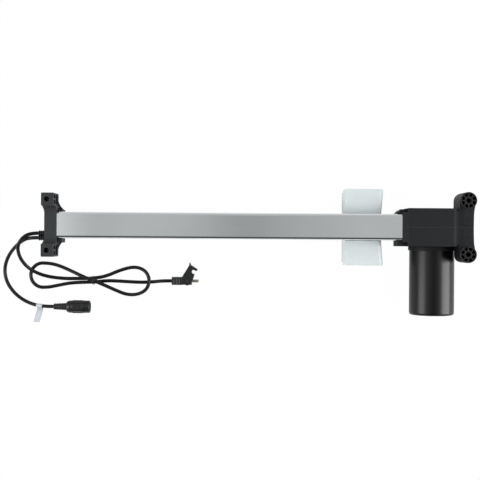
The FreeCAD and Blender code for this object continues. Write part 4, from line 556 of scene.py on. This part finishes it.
def softened(node, radius_mm):
    shape = merged(node)
    bmesh.ops.dissolve_limit(shape, angle_limit=FLAT, verts=shape.verts, edges=shape.edges)
    piece = placed(node + "_softened", as_mesh(shape, node + "_softened"))
    piece.data.shade_smooth()
    bevel = piece.modifiers.new("edge_radius", "BEVEL")
    bevel.width = radius_mm * MM
    bevel.segments = EDGE_STEPS
    bevel.limit_method = "ANGLE"
    bevel.angle_limit = SHARP
    bevel.use_clamp_overlap = False
    shape = bmesh.new()
    shape.from_mesh(frozen(piece).data)
    bmesh.ops.dissolve_degenerate(shape, dist=SAME_POINT * MM, edges=shape.edges)
    shape.to_mesh(piece.data)
    shape.free()
    flat = piece.modifiers.new("flat_faces", "WEIGHTED_NORMAL")
    flat.weight = 100
    stands_for(frozen(piece), node, finish_of[node])


for node, radius in EDGE_RADIUS.items():
    softened(node, radius)
print("softened pieces:", len(EDGE_RADIUS))

# %% [markdown]
# ## Rules that grow pieces
# Threads, screws, ribs and contacts repeat, so a node tree makes each kind from a few named sizes. Loops in Python
# could place them too, but a tree can be opened in Blender and tried with other sizes. Every tree ends by turning its
# copies into real faces and giving them their finish, and its result is kept as a plain mesh.

# %% Start, close and run a node tree


def new_rule(name, sizes):
    """A node tree with one named input for each size, and the node that hands them out."""
    tree = bpy.data.node_groups.new(name, "GeometryNodeTree")
    tree.interface.new_socket("Shape", in_out="OUTPUT", socket_type="NodeSocketGeometry")
    for label, kind in sizes.items():
        tree.interface.new_socket(label, in_out="INPUT", socket_type="NodeSocket" + kind)
    return tree, tree.nodes.new("NodeGroupInput").outputs


def close_rule(tree, shape, size):
    real = add(tree, "GeometryNodeRealizeInstances", {"Geometry": shape.outputs[0]})
    dressed = add(tree, "GeometryNodeSetMaterial", {"Geometry": real.outputs[0], "Material": size["Finish"]})
    add(tree, "NodeGroupOutput", {"Shape": dressed.outputs[0]})


def grown(name, tree, values, start=None):
    """Runs a node tree with the given sizes."""
    piece = placed(name, start or bpy.data.meshes.new(name))
    rule = piece.modifiers.new("rule", "NODES")
    rule.node_group = tree
    sockets = {item.name: item.identifier for item in tree.interface.items_tree if item.in_out == "INPUT"}
    for label, value in values.items():
        rule[sockets[label]] = value
    return frozen(piece)


print("node trees before the first rule:", len(bpy.data.node_groups))

# %% [markdown]
# ## The spindle's thread
# The spindle is a rolled trapezoidal screw with four starts: one turn takes the nut 12 mm along. It shows through
# the slot in the rail's back. A profile could be wound along a helix, but its ends are hard to close. So the rule
# starts from a smooth bar and pulls each point in by its place along and around the bar, which keeps the turns even
# over the whole length. The frame's own bar gives the plain ends.

# %% Thread rule
# Half a groove's width at its bottom and at its top, as shares of the way from one groove to the next.
GROOVE_BOTTOM, GROOVE_TOP = 0.125, 0.375
tree, size = new_rule("rolled_thread", {
    "Length": "Float", "Radius": "Float", "Depth": "Float", "Lead": "Float", "Starts": "Int",
    "Steps along": "Int", "Steps around": "Int", "Middle": "Vector", "Finish": "Material"})
bar = add(tree, "GeometryNodeMeshCylinder", {"Vertices": size["Steps around"], "Side Segments": size["Steps along"],
                                             "Radius": size["Radius"], "Depth": size["Length"]})
where = add(tree, "GeometryNodeInputPosition")
split = add(tree, "ShaderNodeSeparateXYZ", {0: where.outputs[0]})
angle = add(tree, "ShaderNodeMath", {0: split.outputs["Y"], 1: split.outputs["X"]}, operation="ARCTAN2")
turn = add(tree, "ShaderNodeMath", {0: angle.outputs[0], 1: math.tau}, operation="DIVIDE")
along = add(tree, "ShaderNodeMath", {0: split.outputs["Z"], 1: size["Lead"]}, operation="DIVIDE")
both = add(tree, "ShaderNodeMath", {0: turn.outputs[0], 1: along.outputs[0]}, operation="ADD")
ridge = add(tree, "ShaderNodeMath", {0: both.outputs[0], 1: size["Starts"]}, operation="MULTIPLY")
phase = add(tree, "ShaderNodeMath", {0: ridge.outputs[0]}, operation="FRACT")
middle = add(tree, "ShaderNodeMath", {0: phase.outputs[0], 1: 0.5}, operation="SUBTRACT")
away = add(tree, "ShaderNodeMath", {0: middle.outputs[0]}, operation="ABSOLUTE")
low = add(tree, "ShaderNodeMapRange", {"Value": away.outputs[0], "From Min": GROOVE_TOP,
                                       "From Max": GROOVE_BOTTOM, "To Max": size["Depth"]})
share = add(tree, "ShaderNodeMath", {0: low.outputs[0], 1: size["Radius"]}, operation="DIVIDE")
keep = add(tree, "ShaderNodeMath", {0: 1.0, 1: share.outputs[0]}, operation="SUBTRACT")
squeeze = add(tree, "ShaderNodeCombineXYZ", {"X": keep.outputs[0], "Y": keep.outputs[0], "Z": 1.0})
pulled = add(tree, "ShaderNodeVectorMath", {0: where.outputs[0], 1: squeeze.outputs[0]}, operation="MULTIPLY")
cut = add(tree, "GeometryNodeSetPosition", {"Geometry": bar.outputs[0], "Position": pulled.outputs[0]})
laid = add(tree, "GeometryNodeTransform", {"Geometry": cut.outputs[0], "Translation": size["Middle"],
                                           "Rotation": (0.0, math.pi / 2, 0.0)})
close_rule(tree, laid, size)
thread_rule = tree
print("thread rule:", len(tree.nodes), "nodes")

# %% Threaded spindle with the frame's plain ends
LEAD, STARTS, THREAD_DEPTH, AROUND = 12.0, 4, 1.2, 32
THREAD_START, THREAD_END = 5.0, 442.4
spindle_low, spindle_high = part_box("spindle")
spindle_middle = (spindle_low + spindle_high) / 2
thread_from = rail_point(THREAD_START, 0, 0).x
thread_to = rail_point(THREAD_END, 0, 0).x
spindle = grown("spindle_threaded", thread_rule, {
    "Length": thread_to - thread_from, "Radius": (spindle_high.z - spindle_low.z) / 2,
    "Depth": THREAD_DEPTH * MM, "Lead": LEAD * MM, "Starts": STARTS,
    "Steps along": round((THREAD_END - THREAD_START) / LEAD * AROUND), "Steps around": AROUND,
    "Finish": bright_steel,
    "Middle": ((thread_from + thread_to) / 2, spindle_middle.y, spindle_middle.z)})
ends = bmesh.new()
ends.from_mesh(spindle.data)
for place, facing in ((thread_from, -1), (thread_to, 1)):
    end = merged("spindle")
    cut = bmesh.ops.bisect_plane(end, geom=end.verts[:] + end.edges[:] + end.faces[:], clear_inner=True,
                                 plane_co=(place, 0, 0), plane_no=(facing, 0, 0))
    rim = [edge for edge in cut["geom_cut"] if isinstance(edge, bmesh.types.BMEdge)]
    bmesh.ops.contextual_create(end, geom=rim)
    plain = as_mesh(end, "plain_end")
    ends.from_mesh(plain)
    bpy.data.meshes.remove(plain)
ends.to_mesh(spindle.data)
ends.free()
stands_for(spindle, "spindle", bright_steel)
print("thread faces:", len(spindle.data.polygons))

# %% [markdown]
# ## Screws
# All screws are pan heads with a cross recess, black at the rail's ends and zinc plated elsewhere. The frame has
# them as plain stepped rods, which say where each one sits, how long it is and which way its head faces. Placing each
# by hand would go wrong when the frame changes, so one head is modelled for each size, and a rule puts a copy on
# every place that the rods give.

# %% One pan-head screw
# Shares of the head's radius and height for the recess and the dome, and of the shank's radius for its tip.
ARM, ARM_HALF, PIT_NARROW, PIT_THIN, PIT_DEPTH = 0.56, 0.13, 0.6, 0.8, 0.7
CROWN, SHOULDER, SHOULDER_DROP, RIM_DROP = 0.68, 0.9, 0.14, 0.45
TIP_LENGTH, TIP_RADIUS = 0.4, 0.6


def cross_screw(name, head, height, shank, length):
    """A screw with the top of its head at the origin, facing up."""
    shape = bmesh.new()

    def ring(radius, z, around=24):
        return [shape.verts.new((radius * math.cos(math.tau * step / around),
                                 radius * math.sin(math.tau * step / around), z)) for step in range(around)]

    def band(upper, lower):
        for step in range(len(upper)):
            shape.faces.new((upper[step - 1], upper[step], lower[step], lower[step - 1]))

    arm, half = head * ARM, head * ARM_HALF
    plan = [(arm, -half), (arm, half), (half, half), (half, arm), (-half, arm), (-half, half), (-arm, half),
            (-arm, -half), (-half, -half), (-half, -arm), (half, -arm), (half, -half)]
    lip = [shape.verts.new((x, y, 0)) for x, y in plan]
    pit = [shape.verts.new((x * PIT_NARROW, y * PIT_THIN, -height * PIT_DEPTH)) for x, y in plan]
    crown = ring(head * CROWN, 0)
    loops = [shape.edges.new((loop[step - 1], loop[step])) for loop in (lip, crown) for step in range(len(loop))]
    bmesh.ops.triangle_fill(shape, use_beauty=True, edges=loops)
    band(lip, pit)
    shape.faces.new(pit)
    rings = [crown, ring(head * SHOULDER, -height * SHOULDER_DROP), ring(head, -height * RIM_DROP),
             ring(head, -height), ring(shank, -height), ring(shank, TIP_LENGTH * shank - length),
             ring(shank * TIP_RADIUS, -length)]
    for upper, lower in zip(rings, rings[1:]):
        band(upper, lower)
    shape.faces.new(rings[-1])
    bmesh.ops.recalc_face_normals(shape, faces=shape.faces)
    return bpy.data.objects.new(name, as_mesh(shape, name))


print("a recess is", PIT_DEPTH, "of its head's height deep")

# %% Where the frame has its screws
# A level of the rod belongs to its head where it is nearly as wide as the widest.
HEAD_SHARE = 0.98


def screw_places(node):
    """The top of each screw's head, the way it faces, and the screw's head, height, shank and length."""
    shape = merged(node)
    # A dict keeps the points in order, which a set doesn't, so the screws come out the same way each run.
    left = dict.fromkeys(shape.verts)
    places, sizes = [], None
    while left:
        island, reached = [], [left.popitem()[0]]
        while reached:
            vert = reached.pop()
            island.append(vert.co.copy())
            for link in vert.link_edges:
                other = link.other_vert(vert)
                if other in left:
                    del left[other]
                    reached.append(other)
        low = Vector([min(p[i] for p in island) for i in range(3)])
        high = Vector([max(p[i] for p in island) for i in range(3)])
        axis = max(range(3), key=lambda i: (high - low)[i])
        middle = (low + high) / 2
        spread = {}
        for p in island:
            flat = p - middle
            flat[axis] = 0
            level = round(p[axis], 5)
            spread[level] = max(spread.get(level, 0), flat.length)
        head = max(spread.values())
        wide = [level for level, radius in spread.items() if radius > head * HEAD_SHARE]
        sign = 1 if max(wide) > middle[axis] else -1
        top = middle.copy()
        top[axis] = max(wide) if sign > 0 else min(wide)
        facing = Vector((0, 0, 0))
        facing[axis] = sign
        places.append((top, facing))
        tip = spread[min(spread)] if sign > 0 else spread[max(spread)]
        sizes = (head, max(wide) - min(wide), tip, (high - low)[axis])
    shape.free()
    return places, sizes


print("the first motor screw faces", screw_places("motor_screws")[0][0][1])

# %% Screw rule and the sets of screws
tree, size = new_rule("screw_set", {"Places": "Geometry", "Screw": "Object", "Finish": "Material"})
facing = add(tree, "GeometryNodeInputNamedAttribute", {"Name": "facing"}, data_type="FLOAT_VECTOR")
upright = add(tree, "FunctionNodeAlignRotationToVector", {"Vector": facing.outputs["Attribute"]}, axis="Z")
model = add(tree, "GeometryNodeObjectInfo", {"Object": size["Screw"]})
copies = add(tree, "GeometryNodeInstanceOnPoints", {"Points": size["Places"], "Instance": model.outputs["Geometry"],
                                                    "Rotation": upright.outputs[0]})
close_rule(tree, copies, size)
screw_rule = tree
for node in ("front_rail_screws", "rear_rail_screws", "gear_case_screws", "motor_screws", "slider_screws"):
    places, sizes = screw_places(node)
    dots = bpy.data.meshes.new(node)
    dots.from_pydata([top for top, facing in places], [], [])
    way = dots.attributes.new("facing", "FLOAT_VECTOR", "POINT")
    for dot, (top, facing) in zip(way.data, places):
        dot.vector = facing
    screw = cross_screw("pan_head", *sizes)
    plating = black_oxide if "rail" in node else zinc_plate
    screws = grown(node + "_crossed", screw_rule, {"Screw": screw, "Finish": plating}, dots)
    bpy.data.objects.remove(screw)
    stands_for(screws, node, plating)
    print(screws.name, len(places), "screws", len(screws.data.polygons), "faces")

# %% [markdown]
# ## Ribs on the plug
# Fingers pull the plug by its grip, so the moulding has a few raised ribs round it. The rule bends a thin round bead
# along a rounded rectangle and sets copies in a row along the grip. Bump in the material would be quicker, but ribs
# change the plug's outline, which bump can't.

# %% Rib rule and the plug's grip
RIB_SINK, FIRST_RIB = 0.4, 2.2
tree, size = new_rule("grip_ribs", {
    "Count": "Int", "Pitch": "Float", "Width": "Float", "Height": "Float", "Corner": "Float", "Bead": "Float",
    "First": "Vector", "Finish": "Material"})
frame_line = add(tree, "GeometryNodeCurvePrimitiveQuadrilateral", {"Width": size["Width"], "Height": size["Height"]})
rounded = add(tree, "GeometryNodeFilletCurve", {"Curve": frame_line.outputs[0], "Radius": size["Corner"],
                                                "Count": 4}, mode="POLY")
bead = add(tree, "GeometryNodeCurvePrimitiveCircle", {"Resolution": 8, "Radius": size["Bead"]})
rib = add(tree, "GeometryNodeCurveToMesh", {"Curve": rounded.outputs[0], "Profile Curve": bead.outputs[0]})
turned = add(tree, "GeometryNodeTransform", {"Geometry": rib.outputs[0], "Rotation": (math.pi / 2, 0.0, math.pi / 2)})
pitch = add(tree, "ShaderNodeCombineXYZ", {"X": size["Pitch"]})
row = add(tree, "GeometryNodeMeshLine", {"Count": size["Count"], "Start Location": size["First"],
                                         "Offset": pitch.outputs[0]})
copies = add(tree, "GeometryNodeInstanceOnPoints", {"Points": row.outputs[0], "Instance": turned.outputs[0]})
close_rule(tree, copies, size)
plug_low, plug_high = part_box("plug_body")
grip = grown("plug_grip_ribs", tree, {
    "Count": 5, "Pitch": 1.9 * MM, "Width": plug_high.y - plug_low.y - RIB_SINK * MM,
    "Height": plug_high.z - plug_low.z - RIB_SINK * MM, "Corner": 1.4 * MM, "Bead": 0.3 * MM,
    "Finish": plug_pvc, "First": (plug_low.x + FIRST_RIB * MM, (plug_low.y + plug_high.y) / 2,
                                  (plug_low.z + plug_high.z) / 2)})
grip.data.shade_smooth()
finished(grip, "frame", plug_pvc)
print("grip ribs:", len(grip.data.polygons), "faces")

# %% [markdown]
# ## Contacts in the socket
# Five sprung nickel tubes sit in the holes of the socket's insert, on a half circle. The rule sets tubes on an arc.
# Each tube is a narrow rectangle, its wall, swept once round a circle, so that its bore shows. Plain cylinders would
# be simpler, but they look like pins, and a socket takes pins.

# %% Contact rule and the socket's contacts
CONTACT_SINK, CONTACT_RISE = 4.5, 1.0
tree, size = new_rule("contact_arc", {
    "Count": "Int", "Arc radius": "Float", "Tube radius": "Float", "Wall": "Float", "Length": "Float",
    "Middle": "Vector", "Finish": "Material"})
arc = add(tree, "GeometryNodeCurveArc", {"Resolution": size["Count"], "Radius": size["Arc radius"],
                                         "Sweep Angle": math.pi}, mode="RADIUS")
spots = add(tree, "GeometryNodeCurveToPoints", {"Curve": arc.outputs[0]}, mode="EVALUATED")
round_line = add(tree, "GeometryNodeCurvePrimitiveCircle", {"Resolution": 16, "Radius": size["Tube radius"]})
wall = add(tree, "GeometryNodeCurvePrimitiveQuadrilateral", {"Width": size["Wall"], "Height": size["Length"]})
tube = add(tree, "GeometryNodeCurveToMesh", {"Curve": round_line.outputs[0], "Profile Curve": wall.outputs[0]})
copies = add(tree, "GeometryNodeInstanceOnPoints", {"Points": spots.outputs[0], "Instance": tube.outputs[0]})
laid = add(tree, "GeometryNodeTransform", {"Geometry": copies.outputs[0], "Translation": size["Middle"],
                                           "Rotation": (-math.pi / 2, 0.0, -math.pi / 2)})
close_rule(tree, laid, size)
insert_low, insert_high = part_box("socket_insert")
contacts = grown("socket_contacts", tree, {
    "Count": 5, "Arc radius": 3.8 * MM, "Tube radius": 0.68 * MM, "Wall": 0.3 * MM, "Length": 7.0 * MM,
    "Finish": nickel_plate,
    "Middle": (insert_high.x - CONTACT_SINK * MM, (insert_low.y + insert_high.y) / 2,
               SOCKET[2] * MM + CONTACT_RISE * MM)})
finished(contacts, "frame", nickel_plate)
print("contacts:", len(contacts.data.polygons), "faces")

# %% [markdown]
# ## The blank label
# A strip of white film is folded round the short cable and stuck to itself, so that it hangs off like a flag. It is
# drawn as a grid: one direction runs along the cable, the other follows the strip round the cable and down to the
# table, with a slight curl. A cloth simulation could drape it, but film is stiff and keeps one plain bend. Solidify
# gives the film its thickness.

# %% Label film
TAG_WIDTH, TAG_LENGTH, TAG_LEAN = 8.2, 22.0, math.tan(math.radians(10))
FILM, CURL, TIP_HEIGHT, RIPPLE, RIPPLE_TURN = 0.25, 0.8, 0.6, 0.25, 0.5
COLUMNS, ROWS = 8, 40
# The share of the strip that goes round the cable and its half turns there, then the shares of the free run where it
# has come down and where it starts to curl, and what is left of its length when seen from above.
WRAPPED, HALF_TURNS, LANDED, CURL_FROM, SEEN_LENGTH = 0.4, 1.5, 0.8, 0.7, 0.97
before, after = Vector(handset_route[-3]), Vector(handset_route[-2])
axis = (after - before).normalized()
centre = (before + after) / 2
side = Vector((axis.y, -axis.x, 0)).normalized()
up = axis.cross(side)
up = up if up.z > 0 else -up
wrap = CABLE_DIAMETER / 2 + FILM


def film_point(across, along):
    """Place on the film: across it in mm from its middle, along it from 0 round the cable to 1 at the tip."""
    if along < WRAPPED:
        turn = math.pi * (HALF_TURNS - along / WRAPPED * HALF_TURNS)
        return centre + axis * across + side * (wrap * math.sin(turn)) - up * (wrap * math.cos(turn))
    share = (along - WRAPPED) / (1 - WRAPPED)
    start = centre + axis * across - up * wrap
    drop = (start.z - TIP_HEIGHT) * (1 - (1 - min(share / LANDED, 1)) ** 2)
    curl = CURL * (max(share - CURL_FROM, 0) / (1 - CURL_FROM)) ** 2
    lean = side - Vector((axis.x, axis.y, 0)) * TAG_LEAN
    place = start + lean * (share * TAG_LENGTH * SEEN_LENGTH)
    place.z = start.z - drop + curl + RIPPLE * math.sin(across * RIPPLE_TURN)
    return place


shape = bmesh.new()
grid = [[shape.verts.new(rail_point(*film_point(TAG_WIDTH * (i / COLUMNS - 0.5), j / ROWS)))
         for i in range(COLUMNS + 1)] for j in range(ROWS + 1)]
for row, following in zip(grid, grid[1:]):
    for i in range(COLUMNS):
        shape.faces.new((row[i], row[i + 1], following[i + 1], following[i]))
bmesh.ops.recalc_face_normals(shape, faces=shape.faces)
label = placed("blank_label", as_mesh(shape, "blank_label"))
label.data.shade_smooth()
film = label.modifiers.new("film", "SOLIDIFY")
film.thickness = FILM * MM
film.offset = 0.0
stands_for(frozen(label), "cable_tag", tag_film)
print("label faces:", len(label.data.polygons))

# %% [markdown]
# ## The wire tie
# The long cable's two loops are held by a plastic-coated wire, wound twice round the bundle and twisted. The frame's
# tie is a plain band of the same outline. Two NURBS loops a little apart follow that outline, and a twisted pair of
# ends lies on top. Curves with a round bevel are enough for such a thin thing.

# %% Wire loops and twisted ends
# The wire's radius, each loop's place beside the middle and its slant, and the share of its width at the top.
WIRE, LOOP_SIDE, LOOP_SLANT, TOP_WIDTH = 0.55, 0.9, 0.5, 0.86
# Where the twisted ends start, and how far each step takes them along, down and round.
TWIST_X, TWIST_Y, TWIST_RUN, TWIST_FALL, TWIST_TURN = 0.5, 1.2, 0.3, 0.1, 0.9
STEPS = 16
tie_low, tie_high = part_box("cable_tie")
tie_middle = (tie_low + tie_high) / 2
half_y, half_z = (tie_high.y - tie_low.y) / 2 - WIRE * MM, (tie_high.z - tie_low.z) / 2 - WIRE * MM


def wire(name, points, closed):
    line = round_curve(name, points, WIRE, around=3, along=6, closed=closed)
    shape = bpy.data.meshes.new_from_object(line.evaluated_get(bpy.context.evaluated_depsgraph_get()))
    bpy.data.objects.remove(line)
    return shape


bundle = bmesh.new()
for shift in (-LOOP_SIDE, LOOP_SIDE):
    loop = []
    for step in range(STEPS):
        turn = math.tau * step / STEPS
        squared = (abs(math.cos(turn)) ** 3 + abs(math.sin(turn)) ** 3) ** (-1 / 3)
        width = half_y * squared * math.cos(turn) * (1.0 if math.sin(turn) < 0 else TOP_WIDTH)
        loop.append((tie_middle.x + (shift + LOOP_SLANT * math.sin(turn)) * MM, tie_middle.y + width,
                     tie_middle.z + half_z * squared * math.sin(turn)))
    bundle.from_mesh(wire("tie_loop", loop, True))
for strand in (0, math.pi):
    twist = [(tie_middle.x + (TWIST_X + step * TWIST_RUN) * MM,
              tie_middle.y + (TWIST_Y + WIRE * math.cos(strand + step * TWIST_TURN)) * MM,
              tie_high.z + (WIRE * math.sin(strand + step * TWIST_TURN) - step * TWIST_FALL) * MM)
             for step in range(STEPS)]
    bundle.from_mesh(wire("tie_twist", twist, False))
tie = placed("wire_tie", as_mesh(bundle, "wire_tie"))
tie.data.shade_smooth()
stands_for(tie, "cable_tie", cable_pvc)
print("tie faces:", len(tie.data.polygons))

# %% [markdown]
# ## What the cables carry
# A cable is a fixed length of something flexible, and the curves above are only one way to lay it. A plain tube would
# look the same, but nobody could lay it again.

# %% Cords
print("cables laid as curves")

# %% [markdown]
# ## Floor, room and lamps
# The actuator lies on a white sheet in a plain studio. The floor shows as white to the camera and to reflections and
# still takes a soft shadow. The room is bright, with a dark patch overhead where the camera hangs, a brighter field
# left of it and a dark strip on the near side: that is what the rail mirrors. A sky picture could light the part too,
# but two ramps give the same with a few numbers. Large panels stand left and right, where they draw the upright
# streaks on the motor. They leave out the rail, which would mirror them as a blank white strip when seen along its
# length. Floor and lamps are so large that their numbers are in metres.

# %% White floor
# How white the paper is to the camera, and in what mirrors it.
SEEN_WHITE, MIRRORED_WHITE = 0.985, 0.5
FLOOR_HALF, FLOOR_LEVEL = 12.0, -0.05 * MM
white_floor, tree = new_finish("paper_floor")
path = add(tree, "ShaderNodeLightPath")
seen = add(tree, "ShaderNodeMath", {0: path.outputs["Is Camera Ray"], 1: SEEN_WHITE}, operation="MULTIPLY")
mirrored = add(tree, "ShaderNodeMath", {0: path.outputs["Is Glossy Ray"], 1: path.outputs["Is Transmission Ray"]},
               operation="MAXIMUM")
dimmed = add(tree, "ShaderNodeMath", {0: mirrored.outputs[0], 1: MIRRORED_WHITE}, operation="MULTIPLY")
share = add(tree, "ShaderNodeMath", {0: seen.outputs[0], 1: dimmed.outputs[0]}, operation="MAXIMUM")
paper = add(tree, "ShaderNodeBsdfDiffuse", {"Color": colour("#f6f6f6")})
glow = add(tree, "ShaderNodeEmission", {"Color": (1, 1, 1, 1), "Strength": 1.0})
sheet = add(tree, "ShaderNodeMixShader", {0: share.outputs[0], 1: paper.outputs[0], 2: glow.outputs[0]})
add(tree, "ShaderNodeOutputMaterial", {"Surface": sheet.outputs[0]})
floor_data = bpy.data.meshes.new("floor")
corners = [(x * FLOOR_HALF, y * FLOOR_HALF, FLOOR_LEVEL) for x, y in ((-1, -1), (1, -1), (1, 1), (-1, 1))]
floor_data.from_pydata(corners, [], [(0, 1, 2, 3)])
floor = placed("floor", floor_data)
floor_data.materials.append(white_floor)
floor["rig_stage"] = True
print("floor laid")

# %% The room
world = bpy.data.worlds.new("studio")
bpy.context.scene.world = world
world.use_nodes = True
tree = world.node_tree
tree.nodes.clear()
spot = add(tree, "ShaderNodeTexCoord")
way = add(tree, "ShaderNodeSeparateXYZ", {0: spot.outputs["Generated"]})


def sky_profile(direction, levels):
    """Brightness of the room along one direction, from -1 to 1."""
    place = add(tree, "ShaderNodeMapRange", {"Value": direction, "From Min": -1.0})
    profile = add(tree, "ShaderNodeValToRGB", {"Fac": place.outputs[0]})
    stops = profile.color_ramp.elements
    while len(stops) < len(levels):
        stops.new(0.5)
    for stop, (at, level) in zip(stops, levels):
        stop.position = (at + 1) / 2
        stop.color = (level, level, level, 1)
    return profile


overhead = sky_profile(way.outputs["X"], [
    (-1.0, 0.7), (-0.87, 0.8), (-0.75, 1.5), (-0.5, 1.5), (-0.3, 1.0), (-0.19, 0.92), (-0.165, 0.56),
    (-0.15, 0.55), (-0.11, 0.63), (-0.065, 0.61), (-0.022, 0.52), (0.005, 0.37), (0.033, 0.48), (0.065, 0.54),
    (0.13, 0.61), (0.2, 0.6), (0.3, 0.9), (0.5, 1.5), (0.75, 1.5), (0.87, 0.8), (1.0, 0.7)])
crosswise = sky_profile(way.outputs["Y"], [
    (-1.0, 0.3), (-0.9, 0.24), (-0.78, 0.1), (-0.45, 0.12), (-0.2, 0.42), (-0.05, 1.0), (0.08, 1.0), (0.2, 0.95),
    (0.5, 0.95), (0.7, 1.0), (0.85, 1.2), (1.0, 1.3)])


def away_from_middle(direction, start, end, level):
    """Nothing in the middle of the room, growing to a level towards both sides."""
    reach = add(tree, "ShaderNodeMath", {0: direction}, operation="ABSOLUTE")
    return add(tree, "ShaderNodeMapRange", {"Value": reach.outputs[0], "From Min": start, "From Max": end,
                                            "To Max": level})


# The dark patch is narrow across the rail, and the dark strip is short along it.
beside = away_from_middle(way.outputs["Y"], start=0.05, end=0.16, level=0.66)
lifted = add(tree, "ShaderNodeMath", {0: overhead.outputs[0], 1: beside.outputs[0]}, operation="MAXIMUM")
flanks = away_from_middle(way.outputs["X"], start=0.25, end=0.5, level=1.0)
nearer = add(tree, "ShaderNodeMath", {0: crosswise.outputs[0], 1: flanks.outputs[0]}, operation="MAXIMUM")
crossed = add(tree, "ShaderNodeMath", {0: lifted.outputs[0], 1: nearer.outputs[0]}, operation="MULTIPLY")
# Low down the room stays dim, so that the rail's top isn't blank when seen along its length.
ceiling = add(tree, "ShaderNodeMapRange", {"Value": way.outputs["Z"], "From Min": 0.55, "From Max": 0.72,
                                           "To Min": 0.7, "To Max": 2.0})
room = add(tree, "ShaderNodeMath", {0: crossed.outputs[0], 1: ceiling.outputs[0]}, operation="MINIMUM")
path = add(tree, "ShaderNodeLightPath")
level = add(tree, "ShaderNodeMix", {0: path.outputs["Is Camera Ray"], 2: room.outputs[0], 3: 1.0})
back = add(tree, "ShaderNodeBackground", {"Color": (1, 1, 1, 1), "Strength": level.outputs[0]})
add(tree, "ShaderNodeOutputWorld", {"Surface": back.outputs[0]})
print("room:", len(tree.nodes), "nodes")

# %% Lamps
unlit = bpy.data.collections.new("not_lit_by_panels")
unlit.objects.link(bpy.data.objects["rail_softened"])
unlit.collection_objects[0].light_linking.link_state = "EXCLUDE"


def panel(name, location, aim, size, power):
    lamp = bpy.data.lights.new(name, "AREA")
    lamp.shape = "RECTANGLE"
    lamp.size, lamp.size_y = size
    lamp.energy = power
    obj = placed(name, lamp)
    obj.location = location
    obj.rotation_euler = (Vector(aim) - Vector(location)).to_track_quat("-Z", "Y").to_euler()
    obj.light_linking.receiver_collection = unlit


panel("lamp_left", location=(-1.3, -0.2, 0.8), aim=(0.1, 0, 0), size=(0.28, 1.0), power=10.5)
panel("lamp_right", location=(1.5, -0.2, 0.6), aim=(0.2, 0, 0), size=(0.55, 1.2), power=24.5)
bpy.context.scene.view_settings.view_transform = "Standard"
print("lamps:", len(bpy.data.lights))

# %% [markdown]
# ## Size of the dressed model
# Whoever uses the part plans its room by the frame, so the dressed model may not outgrow it. Each piece could be
# measured on its own, but one box round all the dressed pieces says the same at a glance, so that box is measured.

# %% The box round the dressed model
low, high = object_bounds()
